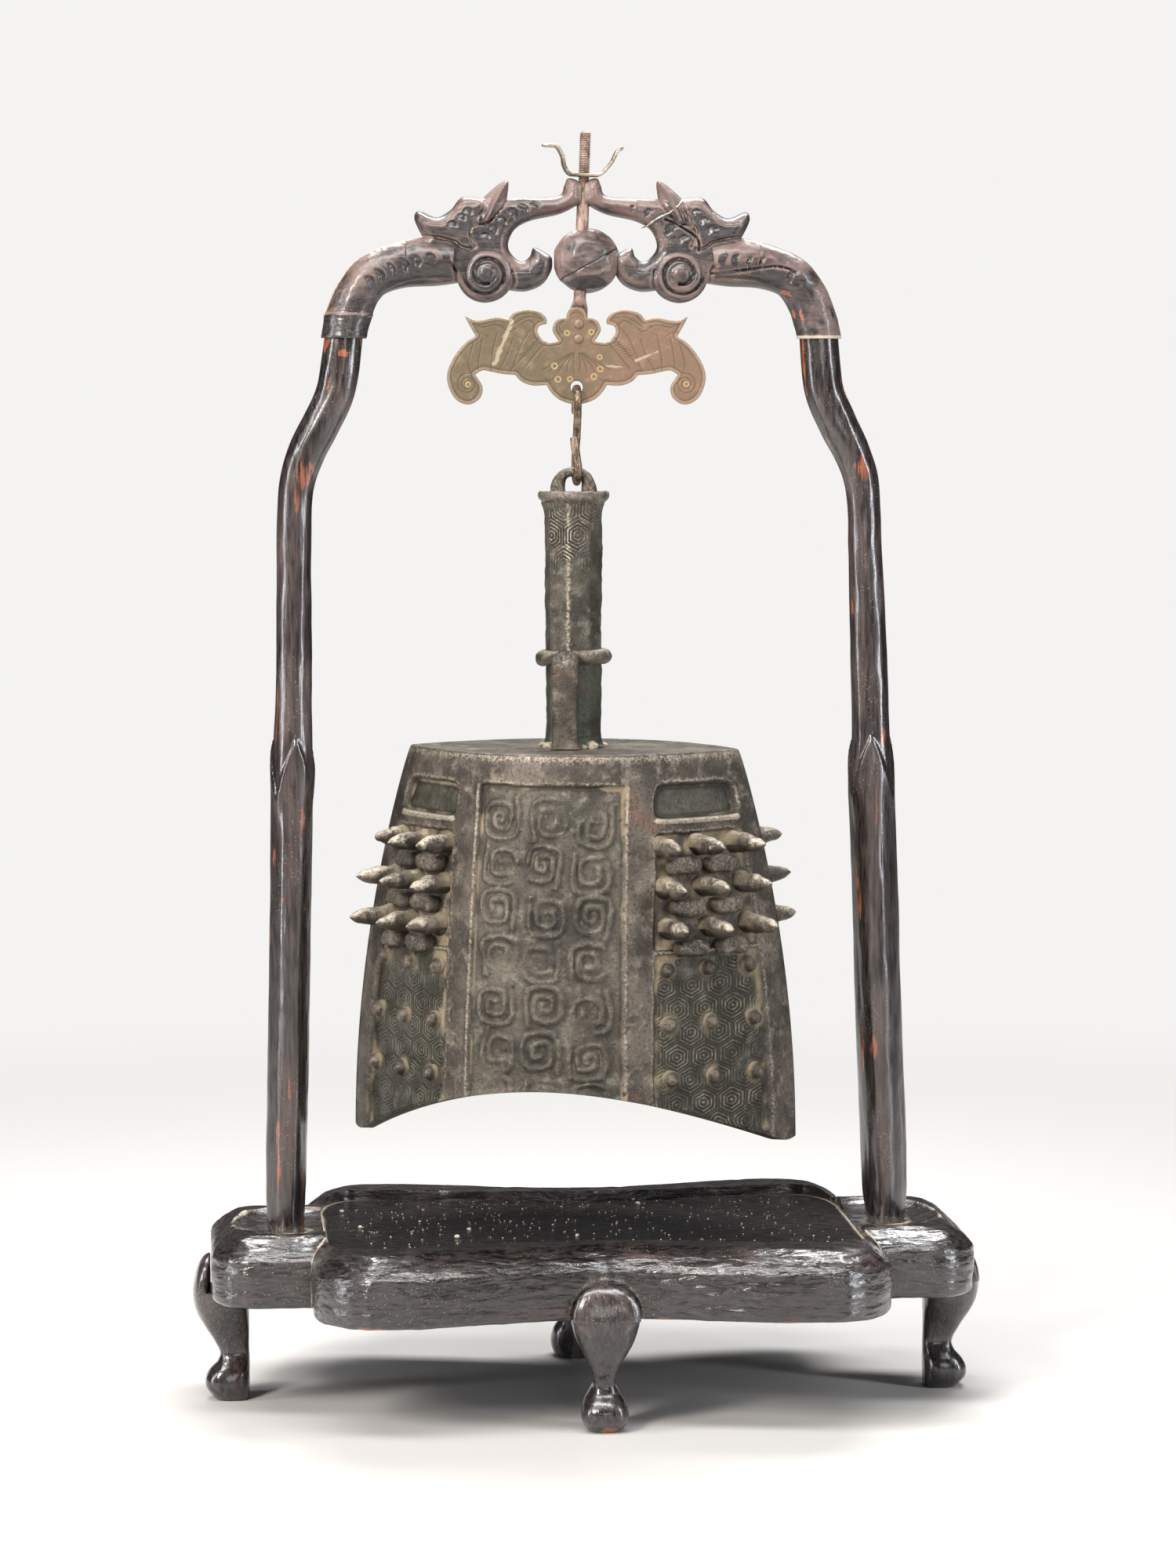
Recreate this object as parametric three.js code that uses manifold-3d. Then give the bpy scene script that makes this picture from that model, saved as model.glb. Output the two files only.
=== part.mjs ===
// A bronze bell of the old flat-sided kind, hung by an S-hook from a bat-shaped plate in a carved stand.
// Millimetres, +Z up, +X to the right, the front faces -Y. The origin is on the floor under the base's middle.
import * as THREE from 'three';
import { mergeVertices } from 'three/addons/utils/BufferGeometryUtils.js';
import Module from 'manifold-3d';

const wasm = await Module();
wasm.setup();

// Fits shared by all pieces
const seatGap = 0.3; // between faces that touch on the real object
const overrun = 30; // how far a cutter runs past what it cuts

// Legs
const legSeatHeight = 63.3; // floor to the underside of the base frame
const legHeight = 83; // floor to the top of the leg's head, which laps the frame's face
const kneeDepth = 31.6;
const kneeHalfWidth = 18.5;
const headLap = 10.3; // how far the head stands out past the frame's face
const legSectionPower = 0.7;
// height, outward reach and half-width of a leg, as shares of its height, knee depth and knee half-width
const legShares = [
  [0, 0.58, 0.46],
  [0.03, 0.66, 0.6],
  [0.08, 0.77, 0.69],
  [0.14, 0.79, 0.7],
  [0.2, 0.71, 0.63],
  [0.26, 0.57, 0.46],
  [0.33, 0.53, 0.34],
  [0.43, 0.67, 0.44],
  [0.53, 0.84, 0.66],
  [0.63, 0.96, 0.87],
];
const legHeadShares = [
  [0.84, 0.97, 1],
  [0.92, 0.9, 0.84],
  [0.97, 0.82, 0.58],
  [1, 0.74, 0.24],
];
const legKneeShare = 1;

// Base frame
const lobeReach = 42.9; // from the post's centre line out to the lobe's end
const lobeHalfDepth = 69;
const lobeCorner = 26;
const seamInset = 12.5; // from the post's centre line in to the seam between end block and rails
const cornerHalfDepth = 137;
const frameHeight = 38.7;
const shoulderInset = 20;
const shoulderDrop = 11;
const railWidth = 40; // from the frame's face to the sunk panel
const endLand = 8; // from the seam to the sunk panel
const recessEndHalfDepth = 56;
const recessDepth = 6;
const panelThickness = 7;
const panelLedge = 6;
const seamRun = 13; // how far the mitre runs on into the frame's opening
// the frame's front edge, as shares of the body's half-width and of the bulge past the lobes
const frontEdgeShares = [
  [1, 0],
  [1, 0.5],
  [0.955, 0.76],
  [0.86, 0.95],
  [0.76, 1],
  [0.51, 0.91],
  [0.25, 0.75],
  [0.07, 0.655],
  [0, 0.665],
];
// the sunk panel's front edge, as shares of its half-width and of its bulge past its ends
const recessEdgeShares = [
  [1, 0],
  [0.965, 0.62],
  [0.87, 1],
  [0.66, 0.95],
  [0.35, 0.74],
  [0, 0.62],
];

// Posts
const postRadius = 11;
const rightPostGirthShare = 1.14; // the right post's lower half is the stouter one
const postClearance = 43.9; // from the bell's widest edge out to the post's centre line at its foot
const socketDepth = 26;
const postAboveHole = 27; // from the plate's hook hole up to the posts' tops
const postSpliceShare = 0.565; // height of the pointed splice along the post
const spliceBlendShare = 0.04;
const footRoundShare = 0.05; // the foot in the socket stays round up to here
const ribFullShare = 0.09;
const postRibShare = 0.09;
const postRibs = 3;
const dishHalfWidth = 34;
const dishHalfDepth = 46;
const dishDepth = 7;
// the post's centre line: share of its height above the socket's floor, share of its foot's half-span
const leftPostLineShares = [
  [0, 1],
  [0.05, 0.999],
  [0.17, 0.988],
  [0.315, 0.975],
  [0.46, 0.963],
  [0.6, 0.954],
  [0.72, 0.948],
  [0.815, 0.943],
  [0.85, 0.932],
  [0.88, 0.9],
  [0.91, 0.854],
  [0.946, 0.806],
  [1, 0.781],
];
const rightPostLineShares = [
  [0, 1],
  [0.05, 0.999],
  [0.17, 0.988],
  [0.315, 0.975],
  [0.46, 0.963],
  [0.6, 0.953],
  [0.69, 0.945],
  [0.775, 0.936],
  [0.815, 0.932],
  [0.85, 0.92],
  [0.88, 0.888],
  [0.91, 0.842],
  [0.946, 0.798],
  [1, 0.781],
];
// the post's girth along its height
const postGirthShares = [
  [0, 0.93],
  [0.05, 0.96],
  [0.12, 1],
  [0.54, 1.02],
  [0.6, 0.94],
  [0.82, 0.85],
  [0.9, 0.99],
  [0.96, 1.02],
  [1, 1],
];

// Crest
const crestX = -3.1; // the seam between the halves, a little left of the base's middle as the frame leans
const crestRise = 89.6; // from the arm's foot to the dragon's nose
const crestThickness = 16;
const crestBevel = 1.5;
const armRadius = 12.3;
const voluteRadius = 16;
const voluteThickness = 23;
const voluteEdge = 3;
const voluteCentreShares = [0.373, 0.401];
const voluteEyeRadius = 6;
const voluteEyeHeight = 1.6;
const dowelRadius = 4;
const dowelLength = 30;
// the dragon's back, ear, nose, lower curl and neck as runs between sharp corners, in shares of the span
// outwards and of the rise upwards; each run starts where the one before ends
const crestRunShares = [
  [
    [0.978, 0.06],
    [0.968, 0.17],
    [0.92, 0.36],
    [0.837, 0.5],
    [0.734, 0.568],
    [0.613, 0.63],
  ],
  [
    [0.613, 0.63],
    [0.644, 0.74],
    [0.627, 0.792],
    [0.561, 0.753],
    [0.506, 0.798],
    [0.46, 0.88],
    [0.382, 0.874],
  ],
  [
    [0.382, 0.874],
    [0.32, 0.961],
    [0.285, 0.978],
    [0.29, 0.87],
  ],
  [
    [0.29, 0.87],
    [0.2, 0.876],
    [0.092, 0.89],
    [0.07, 0.955],
    [0.056, 0.998],
    [0.02, 0.985],
    [0.002, 0.944],
  ],
  [
    [0.002, 0.944],
    [0.002, 0.848],
  ],
  [
    [0.002, 0.848],
    [0.086, 0.776],
    [0.203, 0.731],
    [0.265, 0.669],
    [0.285, 0.563],
    [0.24, 0.479],
    [0.203, 0.51],
    [0.186, 0.567],
    [0.134, 0.526],
    [0.117, 0.5],
  ],
  [
    [0.117, 0.5],
    [0.119, 0.428],
    [0.154, 0.338],
    [0.217, 0.293],
    [0.285, 0.299],
  ],
  [
    [0.285, 0.299],
    [0.375, 0.228],
    [0.437, 0.26],
    [0.478, 0.344],
  ],
  [
    [0.478, 0.344],
    [0.56, 0.326],
    [0.685, 0.313],
    [0.775, 0.254],
    [0.815, 0.12],
    [0.823, 0.06],
  ],
];
const armLineShares = [
  [0.915, 0],
  [0.898, 0.132],
  [0.859, 0.279],
  [0.802, 0.391],
  [0.715, 0.45],
  [0.61, 0.484],
  [0.5, 0.47],
];
const armGirthShares = [1.02, 1, 0.97, 0.98, 1, 1.03, 0.9];

// Pearl between the dragons
const pearlX = -0.9;
const pearlRise = 43.5; // above the arms' feet
const pearlHalfWidth = 18.9;
const pearlHalfHeight = 18;
const pearlHalfDepth = 15;
const pearlPower = 0.86;

// Repair wire over the crack in the right dragon's neck
const repairWireRadius = 0.7;
const repairWireShares = [
  [0.226, 0.695],
  [0.262, 0.738],
  [0.305, 0.765],
  [0.34, 0.8],
  [0.375, 0.85],
];

// Hanger rod, which leans a little, and the plate's hook hole that its axis runs through
const hookHoleX = -6.4;
const rodLean = 2; // degrees
const rodRadius = 3.55;
const threadRadius = 3.175;
const threadLength = 34;
const rodTopAboveHole = 142.9;
const rodClearance = 0.6;
const tongueThickness = 3;
const tongueHalfWidth = 5;
const tongueBelowRivet = 8;
const threadTipShares = [0.7, 0.34]; // the end chamfer's width and height, of the thread's radius
const tongueNeckShare = 0.8; // width of the tongue where it grows out of the rod

// Bat plate
const plateHalfWidth = 72.6;
const plateHeight = 54.8;
const plateThickness = 2.5;
const hookHoleRadius = 3.5;
const upperRivetHeight = 35.5; // above the hook hole
const lowerRivetHeight = 27.1;
const rivetShank = 1.5;
const rivetHead = 2.7;
const rivetHeadHeight = 1.6;
const rivetDomeShares = [0.6, 0.85]; // of the head's radius and height
const rivetBackShares = [0.8, 0.5];
// half of the bat from its head to its tail, as shares of the half-width and of the height above the hole
const batShares = [
  [0, 0.824],
  [0.047, 0.807],
  [0.07, 0.766],
  [0.081, 0.712],
  [0.125, 0.708],
  [0.169, 0.667],
  [0.188, 0.59],
  [0.169, 0.528],
  [0.141, 0.476],
  [0.219, 0.462],
  [0.273, 0.493],
  [0.305, 0.569],
  [0.289, 0.625],
  [0.234, 0.646],
  [0.237, 0.704],
  [0.289, 0.77],
  [0.375, 0.795],
  [0.477, 0.766],
  [0.531, 0.694],
  [0.617, 0.712],
  [0.719, 0.687],
  [0.797, 0.683],
  [0.867, 0.725],
  [0.836, 0.642],
  [0.784, 0.522],
  [0.863, 0.451],
  [0.945, 0.321],
  [1, 0.166],
  [1, 0.031],
  [0.953, -0.104],
  [0.883, -0.17],
  [0.812, -0.17],
  [0.747, -0.104],
  [0.731, -0.004],
  [0.762, 0.079],
  [0.789, 0.128],
  [0.734, 0.17],
  [0.672, 0.161],
  [0.578, 0.135],
  [0.477, 0.124],
  [0.43, 0.058],
  [0.344, 0.017],
  [0.234, 0.021],
  [0.2, -0.052],
  [0.141, -0.124],
  [0.062, -0.166],
  [0, -0.176],
];

// Wing nut bent from strip
const stripThickness = 2;
const stripWidth = 12;
const stripSpan = 48;
const stripRise = 15.7;
const stripFlatShare = 0.237; // half of the flat that bears on the dragons' noses
// the strip's middle line from its left lip to its kinked right tip, as shares of its span and rise
const stripLineShares = [
  [-0.5, 1],
  [-0.4, 1],
  [-0.33, 0.97],
  [-0.265, 0.66],
  [-0.237, 0.3],
  [-0.18, 0.04],
  [-0.1, 0],
  [0.1, 0],
  [0.18, 0.03],
  [0.237, 0.18],
  [0.32, 0.5],
  [0.37, 0.84],
  [0.42, 1],
  [0.44, 0.94],
];

// S-hook
const wireRadius = 2.45;
const upperBight = 8;
const lowerBight = 8.5;
const hookReach = 53.2; // from the hook hole to the wire's centre under the bell's arch
const backTipDrop = 6.8;
const frontTipRise = 17;
const frontTipSide = -2.5;
// the crossing run between the bights: reach behind the hook's middle as a share of the lower bight, and the
// fall as a share of the height between the two bights' centres
const hookCrossShares = [
  [-0.621, 0.28],
  [0, 0.5],
  [0.68, 0.72],
];

// Bell shell
const bellX = -8.2;
const bellTurn = -15.6; // degrees about the vertical
const mouthClearance = 45.2; // from the base's top to the bell's two corners
const bellHeight = 223.4;
const mouthRise = 39;
const topHalfWidth = 94.5;
const mouthHalfWidth = 128;
const topHalfDepth = 66;
const mouthHalfDepth = 93;
const sectionPower = 2.3; // how blunt the almond's two edges are
const flarePower = 0.87;
const wall = 5;
const edgeWallShare = 1.7;
const crownThickness = 8;
const panelSink = 1.6;
const seamBandTop = 17.5; // below the bell's top
// heights of the panels, and the drops and pitches of studs and knobs, as shares of the bell's height
const smallPanelShare = 0.0819;
const studPanelShare = 0.291;
const studFirstShare = 0.2283;
const studPitchShare = 0.1007;
const knobFirstShare = 0.5327;
const knobPitchShare = 0.1343;
const panelBand = 7.5; // plain band between the small panel and the studs
const panelLine = 1.2;
const centrePanelTopHalf = 41;
const centrePanelMouthHalf = 45;
const sidePanelInner = 57.5;
const sidePanelInnerMouth = 60;
const sidePanelOuterShare = 0.915;

// Studs, bars and knobs
const studRadius = 4.5;
const studLength = 24;
const studDroop = 0.5; // degrees
const shellStepShare = 0.01; // between the two points that give the shell's direction
const studRoot = 3;
const studRows = 3;
const studColumnShares = [0.56, 0.725, 0.885];
const barRadius = 4;
const barLength = 13;
const knobRadius = 4;
const knobHeight = 5.4;
const knobColumnShares = [0.54, 0.705, 0.865];
// stud and knob profiles, as shares of their radius and length
const studProfileShares = [
  [0.9, 0.42],
  [0.52, 0.88],
];
const knobProfileShares = [[0.86, 0.66]];

// Bell handle
const handleFootRadius = 15.8;
const handleTopRadius = 16.6;
const handleSides = 8;
const capRadius = 20.2;
const capThickness = 5.5;
const handleHeight = 144.1; // from the bell's top to the cap's top
// the cap's profile from the shaft to its rim, as shares of its radius and of its thickness below its top
const capProfileShares = [
  [0.79, 1.4],
  [1, 0.6],
  [1, 0.2],
  [0.92, 0],
];
const ringHeight = 50.6; // above the bell's top
const ringRadius = 17.2;
const ringTube = 4.2;
const handleFootFlare = 3.2;
const barSlot = 5;
const strapWidth = 15;
const strapThickness = 8;
const strapRound = 2.4; // its outer edges
const strapLug = 8;
const archHalfWidth = 13.4;
const eyeHalfWidth = 4.8;
const eyeCorner = 2.2;
const archRise = 13.9; // above the cap
const archBar = 5.85; // thickness over the wire
const archDepth = 6.4;
const archBevel = 2.3;

// Derived places: the bell's width sets the posts apart, and the posts carry the base and the crest
const postFootHalfSpan = mouthHalfWidth + postClearance;
const baseHalfWidth = postFootHalfSpan + lobeReach;
const bodyHalfWidth = postFootHalfSpan - seamInset;
const baseTop = legSeatHeight + frameHeight;
const socketFloor = baseTop - socketDepth;
const panelTop = baseTop - recessDepth;
const recessHalfWidth = bodyHalfWidth - endLand;
const recessCornerDepth = cornerHalfDepth - railWidth;
const bellMouth = baseTop + mouthClearance;
const bellTop = bellMouth + bellHeight;
const capTop = bellTop + handleHeight;
const smallPanelHeight = smallPanelShare * bellHeight;
const studPanelHeight = studPanelShare * bellHeight;
const studFirstDrop = studFirstShare * bellHeight;
const studPitch = studPitchShare * bellHeight;
const knobFirstDrop = knobFirstShare * bellHeight;
const knobPitch = knobPitchShare * bellHeight;
const archTopZ = capTop + archRise;
const eyeTopZ = archTopZ - archBar;
const wireBottomZ = eyeTopZ - wireRadius - seatGap;
const swingZ = wireBottomZ + lowerBight; // the lower bight's centre, about which the bell swings
const hookHoleZ = wireBottomZ + hookReach;
const hookTopZ = hookHoleZ - (hookHoleRadius - wireRadius - seatGap);
const postTop = hookHoleZ + postAboveHole;
const crestFoot = postTop + seatGap;
const crestTop = crestFoot + crestRise;
const pearlZ = crestFoot + pearlRise;
const armLineX = leftPostLineShares.at(-1)[1] * postFootHalfSpan; // the posts' tops, from the crest's seam
const crestSpan = armLineX / armLineShares[0][0]; // from the seam to the arm's outer side
const plateBack = plateThickness / 2;

// Materials
function material(colour, roughness, metalness) {
  return new THREE.MeshStandardMaterial({ color: colour, roughness, metalness });
}

const lacqueredWood = () => material('#3a2c29', 0.45, 0);
const carvedWood = () => material('#57474a', 0.5, 0);
const blackLacquer = () => material('#0d0b0c', 0.2, 0);
const paleWood = () => material('#8a6a4c', 0.8, 0);
const bellBronze = () => material('#5a5547', 0.6, 0.7);
const plateBrass = () => material('#7d7155', 0.5, 0.8);
const rustyIron = () => material('#8b6a55', 0.65, 0.8);
const hookWire = () => material('#6f5f50', 0.55, 0.8);
const stripBrass = () => material('#a39a80', 0.4, 0.9);
const silverWire = () => material('#b9b6b0', 0.35, 1);

const part = new THREE.Group();

function addPiece(name, geometry, finish, place) {
  const mesh = new THREE.Mesh(geometry, finish);
  mesh.name = name;
  (place ?? part).add(mesh);
  return mesh;
}

// A closed geometry as a solid that can be joined and cut
function solidFrom(geometry) {
  const bare = geometry.clone();
  bare.deleteAttribute('normal');
  bare.deleteAttribute('uv');
  const merged = mergeVertices(bare);
  return new wasm.Manifold(
    new wasm.Mesh({
      numProp: 3,
      vertProperties: new Float32Array(merged.attributes.position.array),
      triVerts: new Uint32Array(merged.index.array),
    }),
  );
}

function geometryFrom(solid) {
  const mesh = solid.getMesh();
  const geometry = new THREE.BufferGeometry();
  geometry.setAttribute('position', new THREE.BufferAttribute(new Float32Array(mesh.vertProperties), 3));
  geometry.setIndex(new THREE.BufferAttribute(new Uint32Array(mesh.triVerts), 1));
  geometry.computeVertexNormals();
  return geometry;
}

// The mirror image in the plane x = 0, with its faces turned back outwards
function mirrored(geometry) {
  const twin = geometry.clone();
  twin.scale(-1, 1, 1);
  const order = twin.index.array;
  for (let i = 0; i < order.length; i += 3) {
    [order[i], order[i + 1]] = [order[i + 1], order[i]];
  }
  twin.computeVertexNormals();
  return twin;
}

// Rings of equal count, each counter-clockwise seen from the end that the loft runs to, skinned and capped
function loft(rings) {
  const count = rings[0].length;
  const positions = rings.flat().flatMap((p) => [p.x, p.y, p.z]);
  const indices = [];
  for (let j = 0; j + 1 < rings.length; j += 1) {
    for (let i = 0; i < count; i += 1) {
      const a = j * count + i;
      const b = j * count + ((i + 1) % count);
      indices.push(a, b, b + count, a, b + count, a + count);
    }
  }
  const last = (rings.length - 1) * count;
  const centres = [rings[0], rings.at(-1)].map((ring) =>
    ring.reduce((sum, p) => sum.add(p), new THREE.Vector3()).divideScalar(count),
  );
  const hub = rings.length * count;
  centres.forEach((c) => positions.push(c.x, c.y, c.z));
  for (let i = 0; i < count; i += 1) {
    const next = (i + 1) % count;
    indices.push(hub, next, i);
    indices.push(hub + 1, last + i, last + next);
  }
  const geometry = new THREE.BufferGeometry();
  geometry.setAttribute('position', new THREE.Float32BufferAttribute(positions, 3));
  geometry.setIndex(indices);
  geometry.computeVertexNormals();
  return geometry;
}

// A value read off a table of [place, value] pairs by straight lines
function lookUp(table, place) {
  const next = table.findIndex(([at]) => at >= place);
  if (next < 1) {
    return next === 0 ? table[0][1] : table.at(-1)[1];
  }
  const [from, low] = table[next - 1];
  const [to, high] = table[next];
  return low + ((high - low) * (place - from)) / (to - from);
}

function smoothPoints(points, perSpan) {
  return new THREE.SplineCurve(points).getPoints((points.length - 1) * perSpan);
}

function extrudeUp(points, bottom, top) {
  const geometry = new THREE.ExtrudeGeometry(new THREE.Shape(points), {
    depth: top - bottom,
    bevelEnabled: false,
  });
  geometry.translate(0, 0, bottom);
  return geometry;
}

// An outline drawn in x and z, given a thickness along y about the plane y = 0
function extrudeAcross(shape, thickness, bevel, bevelSteps) {
  const geometry = new THREE.ExtrudeGeometry(shape, {
    depth: thickness - 2 * bevel,
    bevelEnabled: bevel > 0,
    bevelThickness: bevel,
    bevelSize: bevel,
    bevelOffset: -bevel,
    bevelSegments: bevelSteps,
    curveSegments: 6,
  });
  geometry.translate(0, 0, bevel - thickness / 2);
  geometry.rotateX(Math.PI / 2);
  return geometry;
}

function rodAlong(radius, from, to, sides) {
  const line = new THREE.Vector3().subVectors(to, from);
  const geometry = new THREE.CylinderGeometry(radius, radius, line.length(), sides);
  geometry.translate(0, line.length() / 2, 0);
  const turn = new THREE.Quaternion().setFromUnitVectors(new THREE.Vector3(0, 1, 0), line.normalize());
  geometry.applyQuaternion(turn);
  geometry.translate(from.x, from.y, from.z);
  return geometry;
}

function boxBetween(low, high) {
  const size = new THREE.Vector3().subVectors(high, low);
  const geometry = new THREE.BoxGeometry(size.x, size.y, size.z);
  geometry.translate((low.x + high.x) / 2, (low.y + high.y) / 2, (low.z + high.z) / 2);
  return geometry;
}

// A quarter outline from the x axis to the y axis, mirrored into the whole one
function wholeOutline(quarter) {
  const inner = quarter.slice(1, -1);
  const back = [...inner].reverse();
  return [
    quarter[0],
    ...inner,
    quarter.at(-1),
    ...back.map((p) => new THREE.Vector2(-p.x, p.y)),
    new THREE.Vector2(-quarter[0].x, 0),
    ...inner.map((p) => new THREE.Vector2(-p.x, -p.y)),
    new THREE.Vector2(0, -quarter.at(-1).y),
    ...back.map((p) => new THREE.Vector2(p.x, -p.y)),
  ];
}

// Base frame
function frameOutline() {
  const quarter = [new THREE.Vector2(baseHalfWidth, 0)];
  for (let step = 0; step <= 4; step += 1) {
    const angle = (step / 4) * (Math.PI / 2);
    quarter.push(
      new THREE.Vector2(
        baseHalfWidth - lobeCorner + lobeCorner * Math.cos(angle),
        lobeHalfDepth - lobeCorner + lobeCorner * Math.sin(angle),
      ),
    );
  }
  const bulge = cornerHalfDepth - lobeHalfDepth;
  const edge = frontEdgeShares.map(
    ([x, y]) => new THREE.Vector2(x * bodyHalfWidth, lobeHalfDepth + y * bulge),
  );
  quarter.push(...smoothPoints(edge, 2));
  return wholeOutline(quarter);
}

function recessOutline(inset) {
  const bulge = recessCornerDepth - recessEndHalfDepth;
  const edge = recessEdgeShares.map(
    ([x, y]) =>
      new THREE.Vector2(
        x * (recessHalfWidth - inset),
        recessEndHalfDepth - inset + y * bulge,
      ),
  );
  return wholeOutline([new THREE.Vector2(recessHalfWidth - inset, 0), ...smoothPoints(edge, 2)]);
}

// The plan area of one end block, cut off from the rails by two mitres; grown eats into the rails
function endRegion(side, grown) {
  const seamX = bodyHalfWidth - grown;
  const innerX = recessHalfWidth - endLand - grown;
  const innerY = recessEndHalfDepth - seamRun;
  const points = [
    [innerX, -innerY],
    [seamX, -lobeHalfDepth],
    [seamX + overrun, -lobeHalfDepth - cornerHalfDepth],
    [baseHalfWidth + overrun, -lobeHalfDepth - cornerHalfDepth],
    [baseHalfWidth + overrun, lobeHalfDepth + cornerHalfDepth],
    [seamX + overrun, lobeHalfDepth + cornerHalfDepth],
    [seamX, lobeHalfDepth],
    [innerX, innerY],
  ].map(([x, y]) => new THREE.Vector2(side * x, y));
  const outline = side > 0 ? points : points.reverse();
  return solidFrom(extrudeUp(outline, legSeatHeight - overrun, baseTop + overrun));
}

function buildFrame() {
  const board = new THREE.ExtrudeGeometry(new THREE.Shape(frameOutline()), {
    depth: frameHeight,
    bevelThickness: shoulderDrop,
    bevelSize: shoulderInset,
    bevelOffset: -shoulderInset,
    bevelSegments: 2,
  });
  board.translate(0, 0, legSeatHeight - shoulderDrop);
  const reach = baseHalfWidth + overrun;
  const slab = boxBetween(
    new THREE.Vector3(-reach, -reach, legSeatHeight),
    new THREE.Vector3(reach, reach, baseTop + overrun),
  );
  let frame = solidFrom(board)
    .intersect(solidFrom(slab))
    .subtract(solidFrom(extrudeUp(recessOutline(0), panelTop - panelThickness - seatGap, baseTop + overrun)))
    .subtract(solidFrom(extrudeUp(recessOutline(panelLedge), legSeatHeight - overrun, baseTop + overrun)));
  for (const side of [-1, 1]) {
    const foot = new THREE.Vector3(side * postFootHalfSpan, 0, socketFloor);
    const socket = rodAlong(postRadius + seatGap, foot, foot.clone().setZ(baseTop + overrun), 24);
    const dish = new THREE.SphereGeometry(1, 28, 16);
    dish.scale(dishHalfWidth, dishHalfDepth, dishDepth);
    dish.translate(side * (recessHalfWidth + dishHalfWidth / 2), 0, baseTop);
    frame = frame.subtract(solidFrom(socket)).subtract(solidFrom(dish));
  }
  const frontHalf = solidFrom(
    boxBetween(
      new THREE.Vector3(-reach, -reach, legSeatHeight - overrun),
      new THREE.Vector3(reach, 0, baseTop + overrun),
    ),
  );
  addPiece('left_end', geometryFrom(frame.intersect(endRegion(-1, 0))), lacqueredWood());
  addPiece('right_end', geometryFrom(frame.intersect(endRegion(1, 0))), lacqueredWood());
  const rails = frame.subtract(endRegion(-1, seatGap)).subtract(endRegion(1, seatGap));
  addPiece('front_rail', geometryFrom(rails.intersect(frontHalf)), lacqueredWood());
  addPiece('back_rail', geometryFrom(rails.subtract(frontHalf)), lacqueredWood());
  const panel = extrudeUp(recessOutline(seatGap), panelTop - panelThickness, panelTop);
  addPiece('tray_panel', panel, blackLacquer());
}

// Legs: the lower part runs back under the frame and the head stands against the frame's face
function legGeometry() {
  const sections = 12;
  const faceDepth = kneeDepth - headLap;
  const ring = (z, inner, reach, halfWidth) => {
    const points = [];
    for (let i = 0; i < sections; i += 1) {
      const angle = (i / sections) * 2 * Math.PI;
      const across = Math.sign(Math.cos(angle)) * Math.abs(Math.cos(angle)) ** legSectionPower;
      const out = Math.sign(Math.sin(angle)) * Math.abs(Math.sin(angle)) ** legSectionPower;
      const middle = (inner + reach) / 2;
      points.push(new THREE.Vector3(halfWidth * across, middle + ((reach - inner) / 2) * out, z));
    }
    return points;
  };
  const seat = legSeatHeight - seatGap;
  const rings = legShares.map(([z, reach, width]) =>
    ring(z * legHeight, 0, reach * kneeDepth, width * kneeHalfWidth),
  );
  rings.push(ring(seat, 0, legKneeShare * kneeDepth, legKneeShare * kneeHalfWidth));
  rings.push(ring(seat, faceDepth + seatGap, legKneeShare * kneeDepth, legKneeShare * kneeHalfWidth));
  legHeadShares.forEach(([z, reach, width]) => {
    rings.push(ring(z * legHeight, faceDepth + seatGap, reach * kneeDepth, width * kneeHalfWidth));
  });
  return loft(rings);
}

function buildLegs() {
  const frontFace = lobeHalfDepth + frontEdgeShares.at(-1)[1] * (cornerHalfDepth - lobeHalfDepth);
  const faceDepth = kneeDepth - headLap;
  const seats = [
    ['leg_back', 0, frontFace],
    ['leg_left', 90, baseHalfWidth],
    ['leg_front', 180, frontFace],
    ['leg_right', 270, baseHalfWidth],
  ];
  for (const [name, turn, face] of seats) {
    const leg = legGeometry();
    leg.translate(0, face - faceDepth, 0);
    leg.rotateZ(THREE.MathUtils.degToRad(turn));
    addPiece(name, leg, lacqueredWood());
  }
}

// Posts: rings carried along a bent centre line, ribbed below the splice
function postLine(side) {
  const height = postTop - socketFloor - seatGap;
  const shares = side < 0 ? leftPostLineShares : rightPostLineShares;
  const points = shares.map(
    ([up, out]) =>
      new THREE.Vector3(
        side * out * postFootHalfSpan + crestX * Math.sin((up * Math.PI) / 2),
        0,
        socketFloor + seatGap + up * height,
      ),
  );
  return new THREE.CatmullRomCurve3(points);
}

function sweptRings(line, steps, sides, radiusAt) {
  const across = new THREE.Vector3(0, 1, 0);
  const rings = [];
  for (let j = 0; j <= steps; j += 1) {
    const share = j / steps;
    const centre = line.getPointAt(share);
    const tangent = j === 0 || j === steps ? new THREE.Vector3(0, 0, 1) : line.getTangentAt(share);
    const side = new THREE.Vector3().crossVectors(across, tangent).normalize();
    const points = [];
    for (let i = 0; i < sides; i += 1) {
      const angle = (i / sides) * 2 * Math.PI;
      const radius = radiusAt(share, angle);
      const point = centre.clone();
      point.addScaledVector(side, radius * Math.cos(angle));
      point.addScaledVector(across, radius * Math.sin(angle));
      points.push(point);
    }
    rings.push(points);
  }
  return rings;
}

function postGeometry(side, girthShare) {
  const rings = sweptRings(postLine(side), 22, 15, (up, angle) => {
    const below = THREE.MathUtils.smoothstep(postSpliceShare - up, 0, spliceBlendShare);
    const clear = THREE.MathUtils.smoothstep(up, footRoundShare, ribFullShare);
    const ribs = 1 + postRibShare * below * clear * Math.cos(postRibs * angle);
    const girth = 1 + (girthShare - 1) * below * clear;
    return postRadius * lookUp(postGirthShares, up) * ribs * girth;
  });
  return loft(rings);
}

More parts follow.
